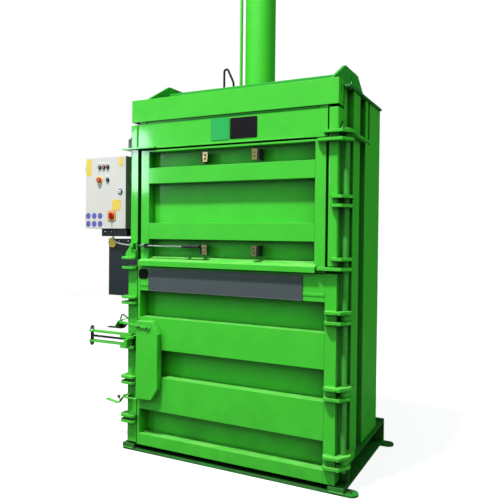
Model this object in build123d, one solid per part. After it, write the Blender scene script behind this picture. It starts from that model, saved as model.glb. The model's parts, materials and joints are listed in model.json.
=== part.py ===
from build123d import *
import math
import os

os.makedirs("parts", exist_ok=True)

# A vertical recycling baler. Millimetres, +Z up, X across the machine, the
# doors face -Y. The origin lies on the floor, midway between the side posts
# and midway between the door faces and the rear columns.

# Body: width over the posts, depth from the door faces to the rear columns
body_width = 1540.0
body_depth = 860.0
side_build = 150.0
back_setback = 30.0
wall_sheet = 10.0
running_fit = 0.05
seat_gap = 0.3

# Base
foot_bar = 15.0
foot_bar_width = 90.0
foot_bar_right = 140.0
foot_bar_left = 56.0
middle_foot_inset = 40.0
foot_overhang = 10.0
rear_foot_inset = 67.0
riser_height = 30.0
anchor_hole_radius = 10.0
rail_height = 150.0
rail_width = 100.0
rail_overhang = 60.0
rail_plate = 10.0
rail_tail = 137.0
end_plate_rise = 20.0
cross_member_width = 100.0
floor_plate = 25.0

# Strap grooves in the floor and in the platen
strap_groove_width = 40.0
strap_groove_depth = 12.0
strap_groove_count = 4
strap_groove_pitch = 270.0

# Side wall ribs
rib_overhang = 33.0
rib_wall = 8.0
mid_rib_start = 197.0
mid_rib_width = 148.0
rear_column_start = 470.0
column_groove_start = 67.0
column_groove_width = 38.0
column_groove_depth = 60.0
column_groove_height = 290.0
back_rib_count = 6
back_rib_height = 90.0
back_rib_depth = 55.0
back_rib_first = 140.0
tooth_proud = 12.0
tooth_height = 60.0
tooth_width = 40.0
tooth_rows = 3

# Front posts
post_face_right = 64.0
post_face_left = 48.0
post_wall = 8.0
post_bend = 12.0
column_depth = 68.0

# Door levels and gaps
door_ground_gap = 5.0
bale_door_height = 1280.0
door_split = 6.0
feed_door_height = 816.0
header_gap = 13.0
post_gap = 4.0
door_play = 5.0

# Header, fascia and the shadow gap between them
header_height = 174.0
header_setback = 3.0
header_plate = 10.0
header_lip = 6.0
header_seam = 6.0
lip_right_inset = 215.0
shadow_gap = 18.0
fascia_height = 156.0
fascia_proud = 6.0
fascia_sheet = 6.0
fascia_above_roof = 23.0
fascia_upright = 50.0
side_slot_width = 12.0
side_slot_height = 45.0
stop_plate = 10.0
stop_plate_reach = 75.0
stop_plate_length = 285.0
stop_plate_depth = 25.0

# Roof and crosshead
roof_plate = 15.0
roof_overhang = 43.0
roof_setback = 85.0
roof_rear_lip = 10.0
lug_inset = 87.0
lug_plate = 20.0
lug_height = 192.0
lug_front_rise = 50.0
lug_slope_front = 252.0
lug_flat = 287.0
lug_foot = 745.0
lug_hole_radius = 30.0
lug_hole_drop = 62.0
cross_beam_width = 55.0
cross_beam_height = 140.0
cross_beam_wall = 10.0
cross_beam_gap = 5.0

# Press cylinder, rod and platen
cylinder_setback = 505.0
cylinder_radius = 110.0
cylinder_bore = 90.0
cylinder_drop = 160.0
cylinder_rise = 960.0
cylinder_cap = 50.0
cylinder_edge = 6.0
roof_hole_gap = 1.0
gland_height = 40.0
rod_radius = 55.0
piston_height = 70.0
piston_top_gap = 10.0
ram_rest_gap = 10.0
flange_reach = 230.0
flange_height = 40.0
flange_bolt_inset = 20.0
flange_bolt_size = 12.0
flange_bolt_height = 14.0
platen_side_gap = 20.0
platen_depth_gap = 10.0
platen_sheet = 20.0
platen_rib_height = 65.0
platen_rib_width = 20.0
platen_rib_count = 5
platen_rib_inset = 20.0
platen_beam_offset = 90.0
platen_boss_radius = 95.0
platen_boss_height = 15.0

# Oil line and hose on the roof
pipe_radius = 11.0
pipe_offset_x = -128.0
pipe_offset_y = -58.0
pipe_port_drop = 60.0
block_height = 70.0
block_half = 22.0
block_start = 16.0
hose_radius = 8.0
hose_offset = 62.0
hose_span = 80.0
hose_top = 340.0
hose_drop = 165.0
hose_bend = 18.0
hose_end_bend = 80.0
fitting_radius = 13.0
fitting_height = 26.0

# Bale door, the lower one
bale_door_thick = 100.0
bale_door_left_inset = 58.0
door_sheet = 10.0
door_member_wall = 8.0
bale_left_stile = 20.0
bale_right_stile = 74.0
bottom_rail = 80.0
low_rail_start = 260.0
low_rail = 240.0
middle_rail_start = 696.0
middle_rail = 224.0
top_rail = 172.0
cover_left_inset = 95.0
cover_right_inset = 219.0
cover_top_inset = 14.0
cover_sheet = 4.0
cover_screw_inset = 18.0
cover_screw_drop = 24.0
cover_screw_radius = 7.0
cover_screw_head = 4.0
lock_cover_inset = 22.0
lock_cover_width = 184.0
lock_cover_start = 344.0
lock_cover_height = 551.0
lock_cover_proud = 48.0
lock_cover_chamfer = 85.0
lock_cover_wall = 6.0

# Feed door, the upper one
feed_door_thick = 70.0
feed_door_left_inset = 82.0
feed_door_right_inset = 77.0
feed_sheet = 8.0
feed_left_stile = 68.0
feed_right_stile = 69.0
sill_height = 36.0
sill_proud = 35.0
sill_right_inset = 130.0
feed_thin_rail = 12.0
feed_low_rail_start = 190.0
feed_low_rail = 114.0
feed_high_rail_start = 581.0
feed_high_rail = 110.0
arm_top_plate = 18.0
arm_low_plate = 20.0
arm_front_play = 3.0
arm_side_play = 2.0
strap_bracket_left = -177.0
strap_bracket_right = 230.0
strap_bracket_width = 37.0
strap_bracket_low = 89.0
strap_bracket_high = 712.0
strap_bracket_height = 68.0
strap_bracket_sheet = 5.0
strap_hole = 12.0
strap_bar_width = 15.0

# Hinge line at the right
hinge_offset = 35.0
hinge_setback = 55.0
hinge_bar_radius = 20.0
hinge_bar_start = 120.0
hinge_bar_rise = 50.0
ear_plate = 18.0
ear_radius = 48.0
ear_inner_radius = 32.0
ear_forward = 38.0
ear_corner = 18.0
ear_on_stile = 72.0
clevis_height = 80.0
clevis_low = 140.0
clevis_middle = 557.0
clevis_high = 1017.0
tongue_play = 2.0
post_ear_low = 85.0
post_ear_middle = 408.0
post_ear_high = 463.0
post_ear_foot = 37.0
tie_plate_foot = 90.0
tie_plate_rise = 17.0
tie_plate_side = 32.0

# Lock post at the lower left
lock_post_out = 26.0
lock_post_width = 78.0
lock_post_start = 10.0
lock_post_wall = 8.0
lock_ear_reach = 50.0
lock_ear_forward = 40.0
lock_ear_plate = 16.0
lock_ear_pitch = 40.0
lock_ear_low = 182.0
lock_ear_second = 460.0
lock_ear_third = 1035.0
lock_ear_top_drop = 26.0
catch_stud_radius = 6.0
catch_stud_length = 36.0

# Closing handle
handle_inset = 39.0
handle_forward = 25.0
handle_pin_radius = 12.0
latch_level = 690.0
latch_opening = 55.0
latch_ear_plate = 18.0
latch_ear_forward = 54.0
arm_length = 375.0
arm_width = 40.0
arm_plate = 12.0
arm_play = 1.0
nose_length = 62.0
nose_width = 28.0
hub_radius = 21.0
grip_radius = 12.0
grip_inset = 22.0
grip_overhang = 31.0
tie_rod_radius = 8.0

# Safety catch below the handle, measured from its stud
catch_level = 348.0
catch_inset = 6.0
catch_forward = 25.0
catch_width = 24.0
catch_plate = 6.0
catch_nose_x = 26.0
catch_nose_z = 15.0
catch_bend_x = -47.0
catch_bend_z = -20.0
catch_low_x = -84.0
catch_low_z = -77.0
catch_end_x = -201.0
catch_end_z = -58.0

# Door switch above the handle
switch_level = 816.0
switch_plate = 6.0
switch_depth = 36.0
switch_setback = 25.0
switch_reach = 214.0
switch_bend = 84.0
switch_rise = 36.0
switch_body_width = 34.0
switch_body_height = 42.0
switch_body_start = 70.0
cable_radius = 4.0
switch_cable_rise = 70.0
switch_cable_drop = 24.0
switch_cable_bend = 36.0
switch_cable_end = 30.0

# Feed door bolt
bolt_forward = 15.0
bolt_level = 142.0
bolt_radius = 5.0
bolt_knob_inset = 33.0
bolt_knob_radius = 13.5
bolt_knob_length = 16.0
bolt_housing_length = 137.0
bolt_housing_radius = 11.0
bolt_travel = 50.0
bolt_tip_gap = 2.0
bolt_guide_width = 20.0
bolt_guide_height = 30.0
keeper_width = 30.0
keeper_inset = 5.0
keeper_hole_gap = 1.0

# Ejector on the chamber floor
ejector_width = 900.0
ejector_depth = 560.0
ejector_sheet = 10.0
ejector_setback = 19.0
ejector_pin_radius = 8.0
ejector_knuckle_radius = 13.0
ejector_knuckle_length = 60.0
ejector_lug = 14.0
ejector_side_play = 1.0

# Control box on the left side
box_gap = 89.0
box_width = 385.0
box_height = 540.0
box_level = 262.0
box_setback = 98.0
box_depth = 200.0
box_wall = 3.0
box_door_thick = 18.0
box_door_inset = 1.0
box_door_gap = 0.5
box_hinge_radius = 6.0
box_pin_radius = 3.0
box_knuckle_length = 25.0
box_knuckle_inset = 60.0
box_leaf = 3.0
box_arm_depth = 40.0
box_arm_height = 40.0
box_arm_inset = 80.0
duct_height = 58.0
duct_left_inset = 132.0
duct_right_inset = 13.0
duct_setback = 14.0
duct_depth = 148.0
duct_wall = 3.0

# Controls on the box door: rows of buttons measured from its top edge, the
# switch and the lock from its lower edge, columns from its left edge
control_first = 137.0
control_pitch = 38.5
control_drop_high = 74.0
control_drop_low = 172.0
bezel_radius = 15.0
bezel_proud = 8.0
button_radius = 11.0
button_proud = 12.0
button_stem = 10.0
mushroom_radius = 20.0
mushroom_height = 14.0
mushroom_gap = 8.0
switch_column = 256.0
switch_row = 97.0
switch_knob_radius = 20.0
switch_knob_height = 12.0
switch_grip_width = 10.0
switch_grip_height = 14.0
lock_column = 335.0
lock_row = 275.0
panel_lock_radius = 12.0
panel_lock_height = 8.0
stem_radius = 6.0

# Power pack below the control box
tank_gap = 12.0
tank_width = 297.0
tank_setback = 150.0
tank_depth = 480.0
tank_level = 246.0
tank_height = 425.0
tank_wall = 4.0
tank_lid = 6.0
motor_radius = 80.0
motor_height = 240.0
motor_setback = 340.0
motor_fin_count = 24
motor_fin = 6.0
motor_fin_gap = 1.0
cap_radius = 38.0
cap_proud = 12.0
cap_neck_radius = 18.0
cap_neck = 4.0
box_cable_radius = 6.0
box_cable_bend = 45.0

# Positions that follow from the sizes above
front = -body_depth / 2
back = body_depth / 2
half_width = body_width / 2
wall_x = half_width - side_build
wall_outer = wall_x + wall_sheet
rib_outer = half_width + rib_overhang
rail_outer = half_width + rail_overhang
rail_inner = rail_outer - rail_width
rail_top = foot_bar + rail_height
rail_rear = back + rail_tail
floor_top = rail_top + floor_plate
foot_front = front - foot_overhang
foot_rear = rail_rear - rear_foot_inset
column_y0 = front + bale_door_thick + door_play
column_y1 = column_y0 + column_depth
chamber_back = back - back_setback
mid_rib_y0 = front + mid_rib_start
mid_rib_y1 = mid_rib_y0 + mid_rib_width
rear_column_y = front + rear_column_start

bale_bottom = foot_bar + riser_height + door_ground_gap
bale_top = bale_bottom + bale_door_height
bale_left = -half_width + bale_door_left_inset
bale_back = front + bale_door_thick
feed_bottom = bale_top + door_split
feed_top = feed_bottom + feed_door_height
feed_left = -half_width + feed_door_left_inset
feed_right = half_width - feed_door_right_inset
sill_top = feed_bottom + sill_height
sill_right = half_width - sill_right_inset
feed_post_bottom = sill_top + post_gap

header_bottom = feed_top + header_gap
header_top = header_bottom + header_height
header_front = front + header_setback
header_left = -half_width + post_face_left
header_right = half_width - post_face_right - header_seam
fascia_bottom = header_top + shadow_gap
fascia_top = fascia_bottom + fascia_height
roof_top = fascia_top - fascia_above_roof
roof_under = roof_top - roof_plate
roof_front = front + roof_setback

cylinder_y = front + cylinder_setback
cylinder_bottom = roof_top - cylinder_drop
cylinder_top = roof_top + cylinder_rise
gland_bottom = cylinder_bottom - gland_height
boss_top = gland_bottom - ram_rest_gap
platen_rib_top = boss_top - platen_boss_height
platen_top = platen_rib_top - platen_rib_height
platen_bottom = platen_top - platen_sheet
piston_top = cylinder_top - cylinder_cap - piston_top_gap
beam_inner = cylinder_radius + cross_beam_gap
flange_top = roof_top + flange_height
lug_x = half_width - lug_inset

hinge_x = half_width + hinge_offset
hinge_y = front + hinge_setback
lock_left = -half_width - lock_post_out
lock_right = lock_left + lock_post_width
handle_x = lock_left + handle_inset
handle_y = front - handle_forward
latch_low = bale_bottom + latch_level
latch_high = latch_low + latch_ear_plate + latch_opening

box_right = -rib_outer - box_gap
box_left = box_right - box_width
box_bottom = feed_bottom + box_level
box_top = box_bottom + box_height
box_front = front + box_setback
box_panel = box_front - box_door_gap - box_door_thick
box_hinge_x = box_left - box_hinge_radius
box_hinge_y = box_front - box_door_thick / 2
tank_right = -rib_outer - tank_gap
tank_left = tank_right - tank_width
tank_front = front + tank_setback
tank_bottom = feed_bottom - tank_level
tank_top = tank_bottom + tank_height
tank_rear = tank_front + tank_depth


def slab(x0, x1, y0, y1, z0, z1):
    """A rectangular block between two corners."""
    centre = Pos((x0 + x1) / 2, (y0 + y1) / 2, (z0 + z1) / 2)
    return centre * Box(abs(x1 - x0), abs(y1 - y0), abs(z1 - z0))


def rod_z(x, y, z0, z1, radius):
    """An upright round bar."""
    return Pos(x, y, (z0 + z1) / 2) * Cylinder(radius, z1 - z0)


def rod_x(x0, x1, y, z, radius):
    """A round bar along X."""
    return Pos((x0 + x1) / 2, y, z) * Rot(0, 90, 0) * Cylinder(radius, x1 - x0)


def rod_y(x, y0, y1, z, radius):
    """A round bar along Y."""
    return Pos(x, (y0 + y1) / 2, z) * Rot(90, 0, 0) * Cylinder(radius, y1 - y0)


def flat_plate(points, z0, z1):
    """A level plate with a polygon outline."""
    return Pos(0, 0, z0) * extrude(make_face(Polyline(*points, close=True)), z1 - z0)


def side_plate(points, x0, x1):
    """A plate across X whose outline is given as Y and Z."""
    outline = Polyline(*[(x0, y, z) for y, z in points], close=True)
    return extrude(make_face(outline), x1 - x0, dir=(1, 0, 0))


def face_plate(points, y0, y1):
    """A plate across Y whose outline is given as X and Z."""
    outline = Polyline(*[(x, y0, z) for x, z in points], close=True)
    return extrude(make_face(outline), y1 - y0, dir=(0, 1, 0))


def bent_strip(points, width, y0, y1):
    """A bar cut from plate that follows a bent line in X and Z."""
    strip = None
    for (xa, za), (xb, zb) in zip(points, points[1:]):
        length = math.hypot(xb - xa, zb - za)
        angle = math.degrees(math.atan2(za - zb, xb - xa))
        centre = Pos((xa + xb) / 2, (y0 + y1) / 2, (za + zb) / 2)
        bar = centre * Rot(0, angle, 0) * Box(length, y1 - y0, width)
        bar += rod_y(xa, y0, y1, za, width / 2)
        bar += rod_y(xb, y0, y1, zb, width / 2)
        strip = bar if strip is None else strip + bar
    return strip


def tube_along(points, radius, bend):
    """A round line through points with large arcs at its corners."""
    path = FilletPolyline(*points, radius=bend)
    direction = Vector(*points[1]) - Vector(*points[0])
    section = Plane(origin=points[0], z_dir=direction) * Circle(radius)
    return sweep(section, path=path)


def mirror_x(shape):
    """The same piece on the other side of the machine."""
    return mirror(shape, about=Plane.YZ)


def group(pieces):
    """Separate solids that belong to one node."""
    return Compound([solid for piece in pieces for solid in piece.solids()])


# Base and chamber


def base_frame():
    """Two outward channels with risers, cross members and end plates."""
    frame = slab(-rail_inner, rail_inner, column_y0, column_y0 + cross_member_width, foot_bar, rail_top)
    frame += slab(
        -rail_inner, rail_inner, chamber_back - cross_member_width, chamber_back, foot_bar, rail_top
    )
    pocket = slab(
        -rail_inner, rail_inner, column_y0 + rail_plate, chamber_back - rail_plate,
        foot_bar, rail_top - rail_plate,
    )
    frame -= pocket
    for side in (-1, 1):
        x_in = side * rail_inner
        x_out = side * rail_outer
        web = side * (rail_inner + rail_plate)
        rail = slab(x_in, x_out, column_y0, rail_rear, foot_bar, rail_top)
        rail -= slab(
            web, x_out, column_y0 + rail_plate, rail_rear, foot_bar + rail_plate, rail_top - rail_plate
        )
        riser_top = foot_bar + riser_height
        rail += slab(x_in, x_out, foot_front, column_y0, foot_bar, riser_top)
        end_top = rail_top + end_plate_rise
        rail += slab(x_in, x_out, rail_rear, rail_rear + rail_plate, foot_bar, end_top)
        frame += rail
    return frame


def foot_bars():
    """Flat bars under the base, the outer two with drilled tabs at the right."""
    bars = []
    radius = foot_bar_width / 2
    end_x = half_width + foot_bar_right - radius
    for y0 in (foot_front, foot_rear):
        y_mid = y0 + radius
        bar = slab(-half_width - foot_bar_left, end_x, y0, y0 + foot_bar_width, 0, foot_bar)
        bar += rod_z(end_x, y_mid, 0, foot_bar, radius)
        bar -= rod_z(end_x, y_mid, 0, foot_bar, anchor_hole_radius)
        bars.append(bar)
    x = rail_outer - middle_foot_inset
    bars.append(slab(-x, x, -foot_bar_width / 2, foot_bar_width / 2, 0, foot_bar))
    return group(bars)


def groove_centres():
    """Middle of each strap groove across the machine."""
    first = -strap_groove_pitch * (strap_groove_count - 1) / 2
    return [first + index * strap_groove_pitch for index in range(strap_groove_count)]


ejector_y = column_y0 + ejector_setback
ejector_z = floor_top + seat_gap + ejector_knuckle_radius
ejector_knuckle_x = ejector_width / 2 - ejector_knuckle_length


def chamber_floor():
    """Floor plate with strap grooves and the ejector's hinge lugs and pins."""
    floor = slab(-wall_x, wall_x, column_y0, chamber_back, rail_top, floor_top)
    half = strap_groove_width / 2
    for x in groove_centres():
        floor -= slab(x - half, x + half, column_y0, chamber_back, floor_top - strap_groove_depth, floor_top)
    for side in (-1, 1):
        centre = side * ejector_knuckle_x
        inner = ejector_knuckle_length / 2 + ejector_side_play
        outer = inner + ejector_lug
        for sign in (-1, 1):
            x0, x1 = sorted((centre + sign * inner, centre + sign * outer))
            y0 = ejector_y - ejector_knuckle_radius
            y1 = ejector_y + ejector_knuckle_radius
            floor += slab(x0, x1, y0, y1, floor_top - strap_groove_depth, ejector_z)
            floor += rod_x(x0, x1, ejector_y, ejector_z, ejector_knuckle_radius)
        floor += rod_x(centre - outer, centre + outer, ejector_y, ejector_z, ejector_pin_radius)
    return floor


def ejector_plate():
    """Tipping plate on the floor that throws the bale out forwards."""
    z0 = floor_top + seat_gap
    half = ejector_width / 2
    plate = slab(-half, half, ejector_y, ejector_y + ejector_depth, z0, z0 + ejector_sheet)
    for side in (-1, 1):
        centre = side * ejector_knuckle_x
        clear = ejector_knuckle_length / 2 + ejector_lug + 2 * ejector_side_play
        y1 = ejector_y + ejector_knuckle_radius + ejector_side_play
        plate -= slab(centre - clear, centre + clear, ejector_y, y1, z0, z0 + ejector_sheet)
    for side in (-1, 1):
        centre = side * ejector_knuckle_x
        x0 = centre - ejector_knuckle_length / 2
        x1 = centre + ejector_knuckle_length / 2
        plate += rod_x(x0, x1, ejector_y, ejector_z, ejector_knuckle_radius)
        y1 = ejector_y + 2 * ejector_knuckle_radius
        plate += slab(x0, x1, ejector_y, y1, z0, z0 + ejector_sheet)
        plate -= rod_x(x0, x1, ejector_y, ejector_z, ejector_pin_radius + running_fit)
    return plate


def u_rib(y0, y1, z0, z1):
    """An upright channel rib, closed outside and open towards the wall."""
    rib = slab(wall_outer, rib_outer, y0, y1, z0, z1)
    return rib - slab(wall_outer, rib_outer - rib_wall, y0 + rib_wall, y1 - rib_wall, z0, z1)


def right_wall():
    """Wall sheet with a mid rib and a wide rear column."""
    wall = slab(wall_x, wall_outer, column_y1, back, rail_top, roof_under)
    wall += u_rib(mid_rib_y0, mid_rib_y1, rail_top, roof_under)
    column = u_rib(rear_column_y, back, rail_top, roof_under)
    y0 = rear_column_y + column_groove_start
    y1 = y0 + column_groove_width
    z0 = roof_under - column_groove_height
    x0 = rib_outer - column_groove_depth
    column += slab(x0 - rib_wall, rib_outer, y0 - rib_wall, y1 + rib_wall, z0 - rib_wall, roof_under)
    column -= slab(x0, rib_outer, y0, y1, z0, roof_under)
    return wall + column


def back_wall():
    """Back sheet with level channel ribs."""
    y1 = chamber_back + wall_sheet
    wall = slab(-wall_x, wall_x, chamber_back, y1, rail_top, roof_under)
    first = floor_top + back_rib_first
    pitch = (roof_under - back_rib_first - first) / (back_rib_count - 1)
    for index in range(back_rib_count):
        z0 = first + index * pitch
        z1 = z0 + back_rib_height
        rib = slab(-wall_x, wall_x, y1, y1 + back_rib_depth, z0, z1)
        rib -= slab(
            -wall_x + rib_wall, wall_x - rib_wall, y1, y1 + back_rib_depth - rib_wall,
            z0 + rib_wall, z1 - rib_wall,
        )
        wall += rib
    return wall


def retaining_teeth():
    """Barbs on the side walls that hold the pressed material down."""
    teeth = []
    depth_mid = (column_y1 + chamber_back) / 2
    for side in (-1, 1):
        for y in ((column_y1 + depth_mid) / 2, (depth_mid + chamber_back) / 2):
            for index in range(tooth_rows):
                top = bale_top - index * 2 * tooth_height - tooth_height
                x_wall = side * wall_x
                x_tip = side * (wall_x - tooth_proud)
                points = [(x_wall, top), (x_wall, top - tooth_height), (x_tip, top - tooth_height)]
                teeth.append(face_plate(points, y - tooth_width / 2, y + tooth_width / 2))
    return group(teeth)


def front_post(face_width):
    """Full-height stop column with the feed post in front of its top half."""
    inner = half_width - face_width
    column = slab(wall_x, half_width, column_y0, column_y1, rail_top, roof_under)
    column -= slab(
        wall_x + post_wall, half_width - post_wall, column_y0 + post_wall, column_y1 - post_wall,
        rail_top, roof_under,
    )
    post = slab(inner, half_width, front, column_y0, feed_post_bottom, header_top)
    corners = post.edges().filter_by(Axis.Z).sort_by(Axis.Y)[:2]
    post = fillet(corners, post_bend)
    post -= slab(
        inner + post_wall, half_width - post_wall, front + post_wall, column_y0,
        feed_post_bottom, header_top,
    )
    return column + post


def left_post():
    """The left post with the keeper for the feed door's bolt."""
    post = mirror_x(front_post(post_face_left))
    x0 = -half_width + keeper_inset
    z_mid = feed_bottom + bolt_level
    half = bolt_guide_height / 2
    reach = 2 * bolt_forward
    keeper = slab(x0, x0 + keeper_width, front - reach, front, z_mid - half, z_mid + half)
    bore = bolt_radius + keeper_hole_gap
    keeper -= rod_x(x0, x0 + keeper_width, front - bolt_forward, z_mid, bore)
    return post + keeper


def header_beam():
    """Channel between the posts above the feed opening, with fascia uprights."""
    beam = slab(header_left, header_right, header_front, column_y0, header_bottom, header_top)
    beam -= slab(
        header_left + header_plate, header_right - header_plate, header_front + header_plate, column_y0,
        header_bottom + header_plate, header_top - header_plate,
    )
    beam += slab(-wall_x, wall_x, column_y0 - header_plate, column_y0, header_top, roof_under)
    lip_left = -half_width - stop_plate_reach + stop_plate_length
    lip_y = header_front - header_lip
    lip_right = half_width - lip_right_inset
    beam += slab(lip_left, lip_right, lip_y, header_front, header_bottom, header_bottom + header_lip)
    for side in (-1, 1):
        x0 = side * header_right
        x1 = side * (header_right - fascia_upright)
        y0 = front - fascia_proud + fascia_sheet
        beam += slab(x0, x1, max(y0, header_front), roof_front, header_top, fascia_top - fascia_sheet)
    return beam + stop_ledge()


def top_fascia():
    """Bent cover sheet over the top front edge, with returned ends."""
    y0 = front - fascia_proud
    cover = slab(-half_width, half_width, y0, roof_front, fascia_bottom, fascia_top)
    cover -= slab(
        -half_width + fascia_sheet, half_width - fascia_sheet, y0 + fascia_sheet, roof_front,
        fascia_bottom, fascia_top - fascia_sheet,
    )
    slot_y = (front + roof_front) / 2
    slot_z = (fascia_bottom + fascia_top) / 2
    x0 = half_width - fascia_sheet
    cover -= slab(x0, half_width, slot_y, slot_y + side_slot_width, slot_z, slot_z + side_slot_height)
    return cover


def roof():
    """Roof plate with the cylinder's hole."""
    x = half_width + roof_overhang
    plate = slab(-x, x, roof_front, back + roof_rear_lip, roof_under, roof_top)
    return plate - rod_z(0, cylinder_y, roof_under, roof_top, cylinder_radius + roof_hole_gap)


def crosshead():
    """Two drilled lug plates joined by box beams either side of the cylinder."""
    peak = roof_front + lug_slope_front
    shoulder = peak + lug_flat
    foot = roof_front + lug_foot
    z1 = roof_top + lug_height
    z_low = roof_top + lug_front_rise
    outline = [
        (roof_front, roof_top), (roof_front, z_low), (peak, z1),
        (shoulder, z1), (foot, z_low), (foot, roof_top),
    ]
    plate = side_plate(outline, lug_x, lug_x + lug_plate)
    hole_y = (peak + shoulder) / 2
    plate -= rod_x(lug_x, lug_x + lug_plate, hole_y, z1 - lug_hole_drop, lug_hole_radius)
    head = plate + mirror_x(plate)
    beam_top = roof_top + cross_beam_height
    wall = cross_beam_wall
    for sign in (-1, 1):
        ya = cylinder_y + sign * beam_inner
        yb = ya + sign * cross_beam_width
        beam = slab(-lug_x, lug_x, ya, yb, roof_top, beam_top)
        inner = (ya + sign * wall, yb - sign * wall)
        beam -= slab(-lug_x + wall, lug_x - wall, *inner, roof_top, beam_top - wall)
        head += beam
    return head


# Press


def cylinder_barrel():
    """Honed tube with its cap and the flange that stands between the beams."""
    barrel = rod_z(0, cylinder_y, cylinder_bottom, cylinder_top, cylinder_radius)
    barrel = chamfer(barrel.edges().sort_by(Axis.Z)[-1], cylinder_edge)
    y0 = cylinder_y - beam_inner
    y1 = cylinder_y + beam_inner
    barrel += slab(-flange_reach, flange_reach, y0, y1, roof_top, flange_top)
    bore_top = cylinder_top - cylinder_cap
    return barrel - rod_z(0, cylinder_y, cylinder_bottom, bore_top, cylinder_bore)


def flange_bolts():
    """Hexagon bolts at the flange's corners."""
    bolts = []
    for sx in (-1, 1):
        for sy in (-1, 1):
            x = sx * (flange_reach - flange_bolt_inset)
            y = cylinder_y + sy * (beam_inner - flange_bolt_inset)
            head = extrude(RegularPolygon(flange_bolt_size, 6), flange_bolt_height)
            bolts.append(Pos(x, y, flange_top) * head)
    return group(bolts)


def cylinder_gland():
    """Rod guide on the barrel's lower end."""
    gland = rod_z(0, cylinder_y, gland_bottom, cylinder_bottom, cylinder_radius)
    return gland - rod_z(0, cylinder_y, gland_bottom, cylinder_bottom, rod_radius + running_fit)


def piston_rod():
    """Chromed rod with its piston."""
    rod = rod_z(0, cylinder_y, boss_top, piston_top, rod_radius)
    radius = cylinder_bore - running_fit
    return rod + rod_z(0, cylinder_y, piston_top - piston_height, piston_top, radius)


def platen():
    """Press plate with strap grooves below and stiffening ribs above."""
    x = wall_x - platen_side_gap
    y0 = bale_back + platen_depth_gap
    y1 = chamber_back - platen_depth_gap
    plate = slab(-x, x, y0, y1, platen_bottom, platen_top)
    half = strap_groove_width / 2
    for gx in groove_centres():
        plate -= slab(gx - half, gx + half, y0, y1, platen_bottom, platen_bottom + strap_groove_depth)
    inner = x - platen_rib_inset
    pitch = (2 * inner - platen_rib_width) / (platen_rib_count - 1)
    for index in range(platen_rib_count):
        rx = -inner + index * pitch
        ry0 = y0 + platen_rib_inset
        ry1 = y1 - platen_rib_inset
        plate += slab(rx, rx + platen_rib_width, ry0, ry1, platen_top, platen_rib_top)
    for sign in (-1, 1):
        ry = cylinder_y + sign * platen_beam_offset
        rib_half = platen_rib_width / 2
        plate += slab(-inner, inner, ry - rib_half, ry + rib_half, platen_top, platen_rib_top)
    return plate + rod_z(0, cylinder_y, platen_top, boss_top, platen_boss_radius)


pipe_x = pipe_offset_x
pipe_y = cylinder_y + pipe_offset_y
block_top = flange_top + block_height
hose_x = pipe_x - hose_offset


def oil_line():
    """Steel line from its block on the flange into the cylinder's top."""
    angle = math.atan2(-pipe_offset_y, -pipe_offset_x)
    reach = math.hypot(pipe_offset_x, pipe_offset_y) - cylinder_radius
    top = cylinder_top - pipe_port_drop
    end = (pipe_x + reach * math.cos(angle), pipe_y + reach * math.sin(angle), top)
    points = [(pipe_x, pipe_y, block_top), (pipe_x, pipe_y, top), end]
    bend = min(reach * 0.8, 2 * pipe_radius)
    print("oil line bend radius", round(bend, 1), "mm")
    pipe = tube_along(points, pipe_radius, bend)
    x0 = hose_x - block_start
    x1 = pipe_x + block_start
    y0 = pipe_y - block_half
    y1 = pipe_y + block_half
    line = pipe + slab(x0, x1, y0, y1, flange_top, block_top)
    line += rod_z(hose_x, pipe_y, block_top, block_top + fitting_height, fitting_radius)
    bulkhead = rod_z(hose_x - hose_span, pipe_y, roof_top, roof_top + fitting_height, fitting_radius)
    return group([line, bulkhead])


def cylinder_hose():
    """Pressure hose in a steep bend above the crosshead, from roof fitting to block."""
    x0 = hose_x - hose_span
    top = roof_top + hose_top
    points = [
        (x0, pipe_y, roof_top + fitting_height), (x0, pipe_y, top),
        (hose_x, pipe_y, top - hose_drop), (hose_x, pipe_y, block_top + fitting_height),
    ]
    print("cylinder hose bend radii", hose_bend, hose_end_bend, "mm")
    return tube_along(points, hose_radius, [hose_bend, hose_end_bend])


# Doors


def hat_member(x0, x1, z0, z1, y0, y1):
    """A pressed channel with its open side towards the back."""
    body = slab(x0, x1, y0, y1, z0, z1)
    wall = door_member_wall
    if min(x1 - x0, z1 - z0) < 2.4 * wall:
        return body
    return body - slab(x0 + wall, x1 - wall, y0 + wall, y1, z0 + wall, z1 - wall)


def bale_door_frame():
    """Stiles and deep rails of the bale door."""
    y1 = bale_back - door_sheet
    x0 = bale_left + bale_left_stile
    x1 = half_width - bale_right_stile
    frame = hat_member(bale_left, x0, bale_bottom, bale_top, front, y1)
    frame += hat_member(x1, half_width, bale_bottom, bale_top, front, y1)
    starts = [0.0, low_rail_start, middle_rail_start, bale_door_height - top_rail]
    heights = [bottom_rail, low_rail, middle_rail, top_rail]
    for start, height in zip(starts, heights):
        z0 = bale_bottom + start
        frame += hat_member(x0, x1, z0, z0 + height, front, y1)
    return frame


def bale_door_sheet():
    """Back sheet of the bale door."""
    return slab(bale_left, half_width, bale_back - door_sheet, bale_back, bale_bottom, bale_top)


def clevis_levels():
    """Height of each hinge ear pair on the bale door."""
    return [bale_bottom + clevis_low, bale_bottom + clevis_middle, bale_bottom + clevis_high]


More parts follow.
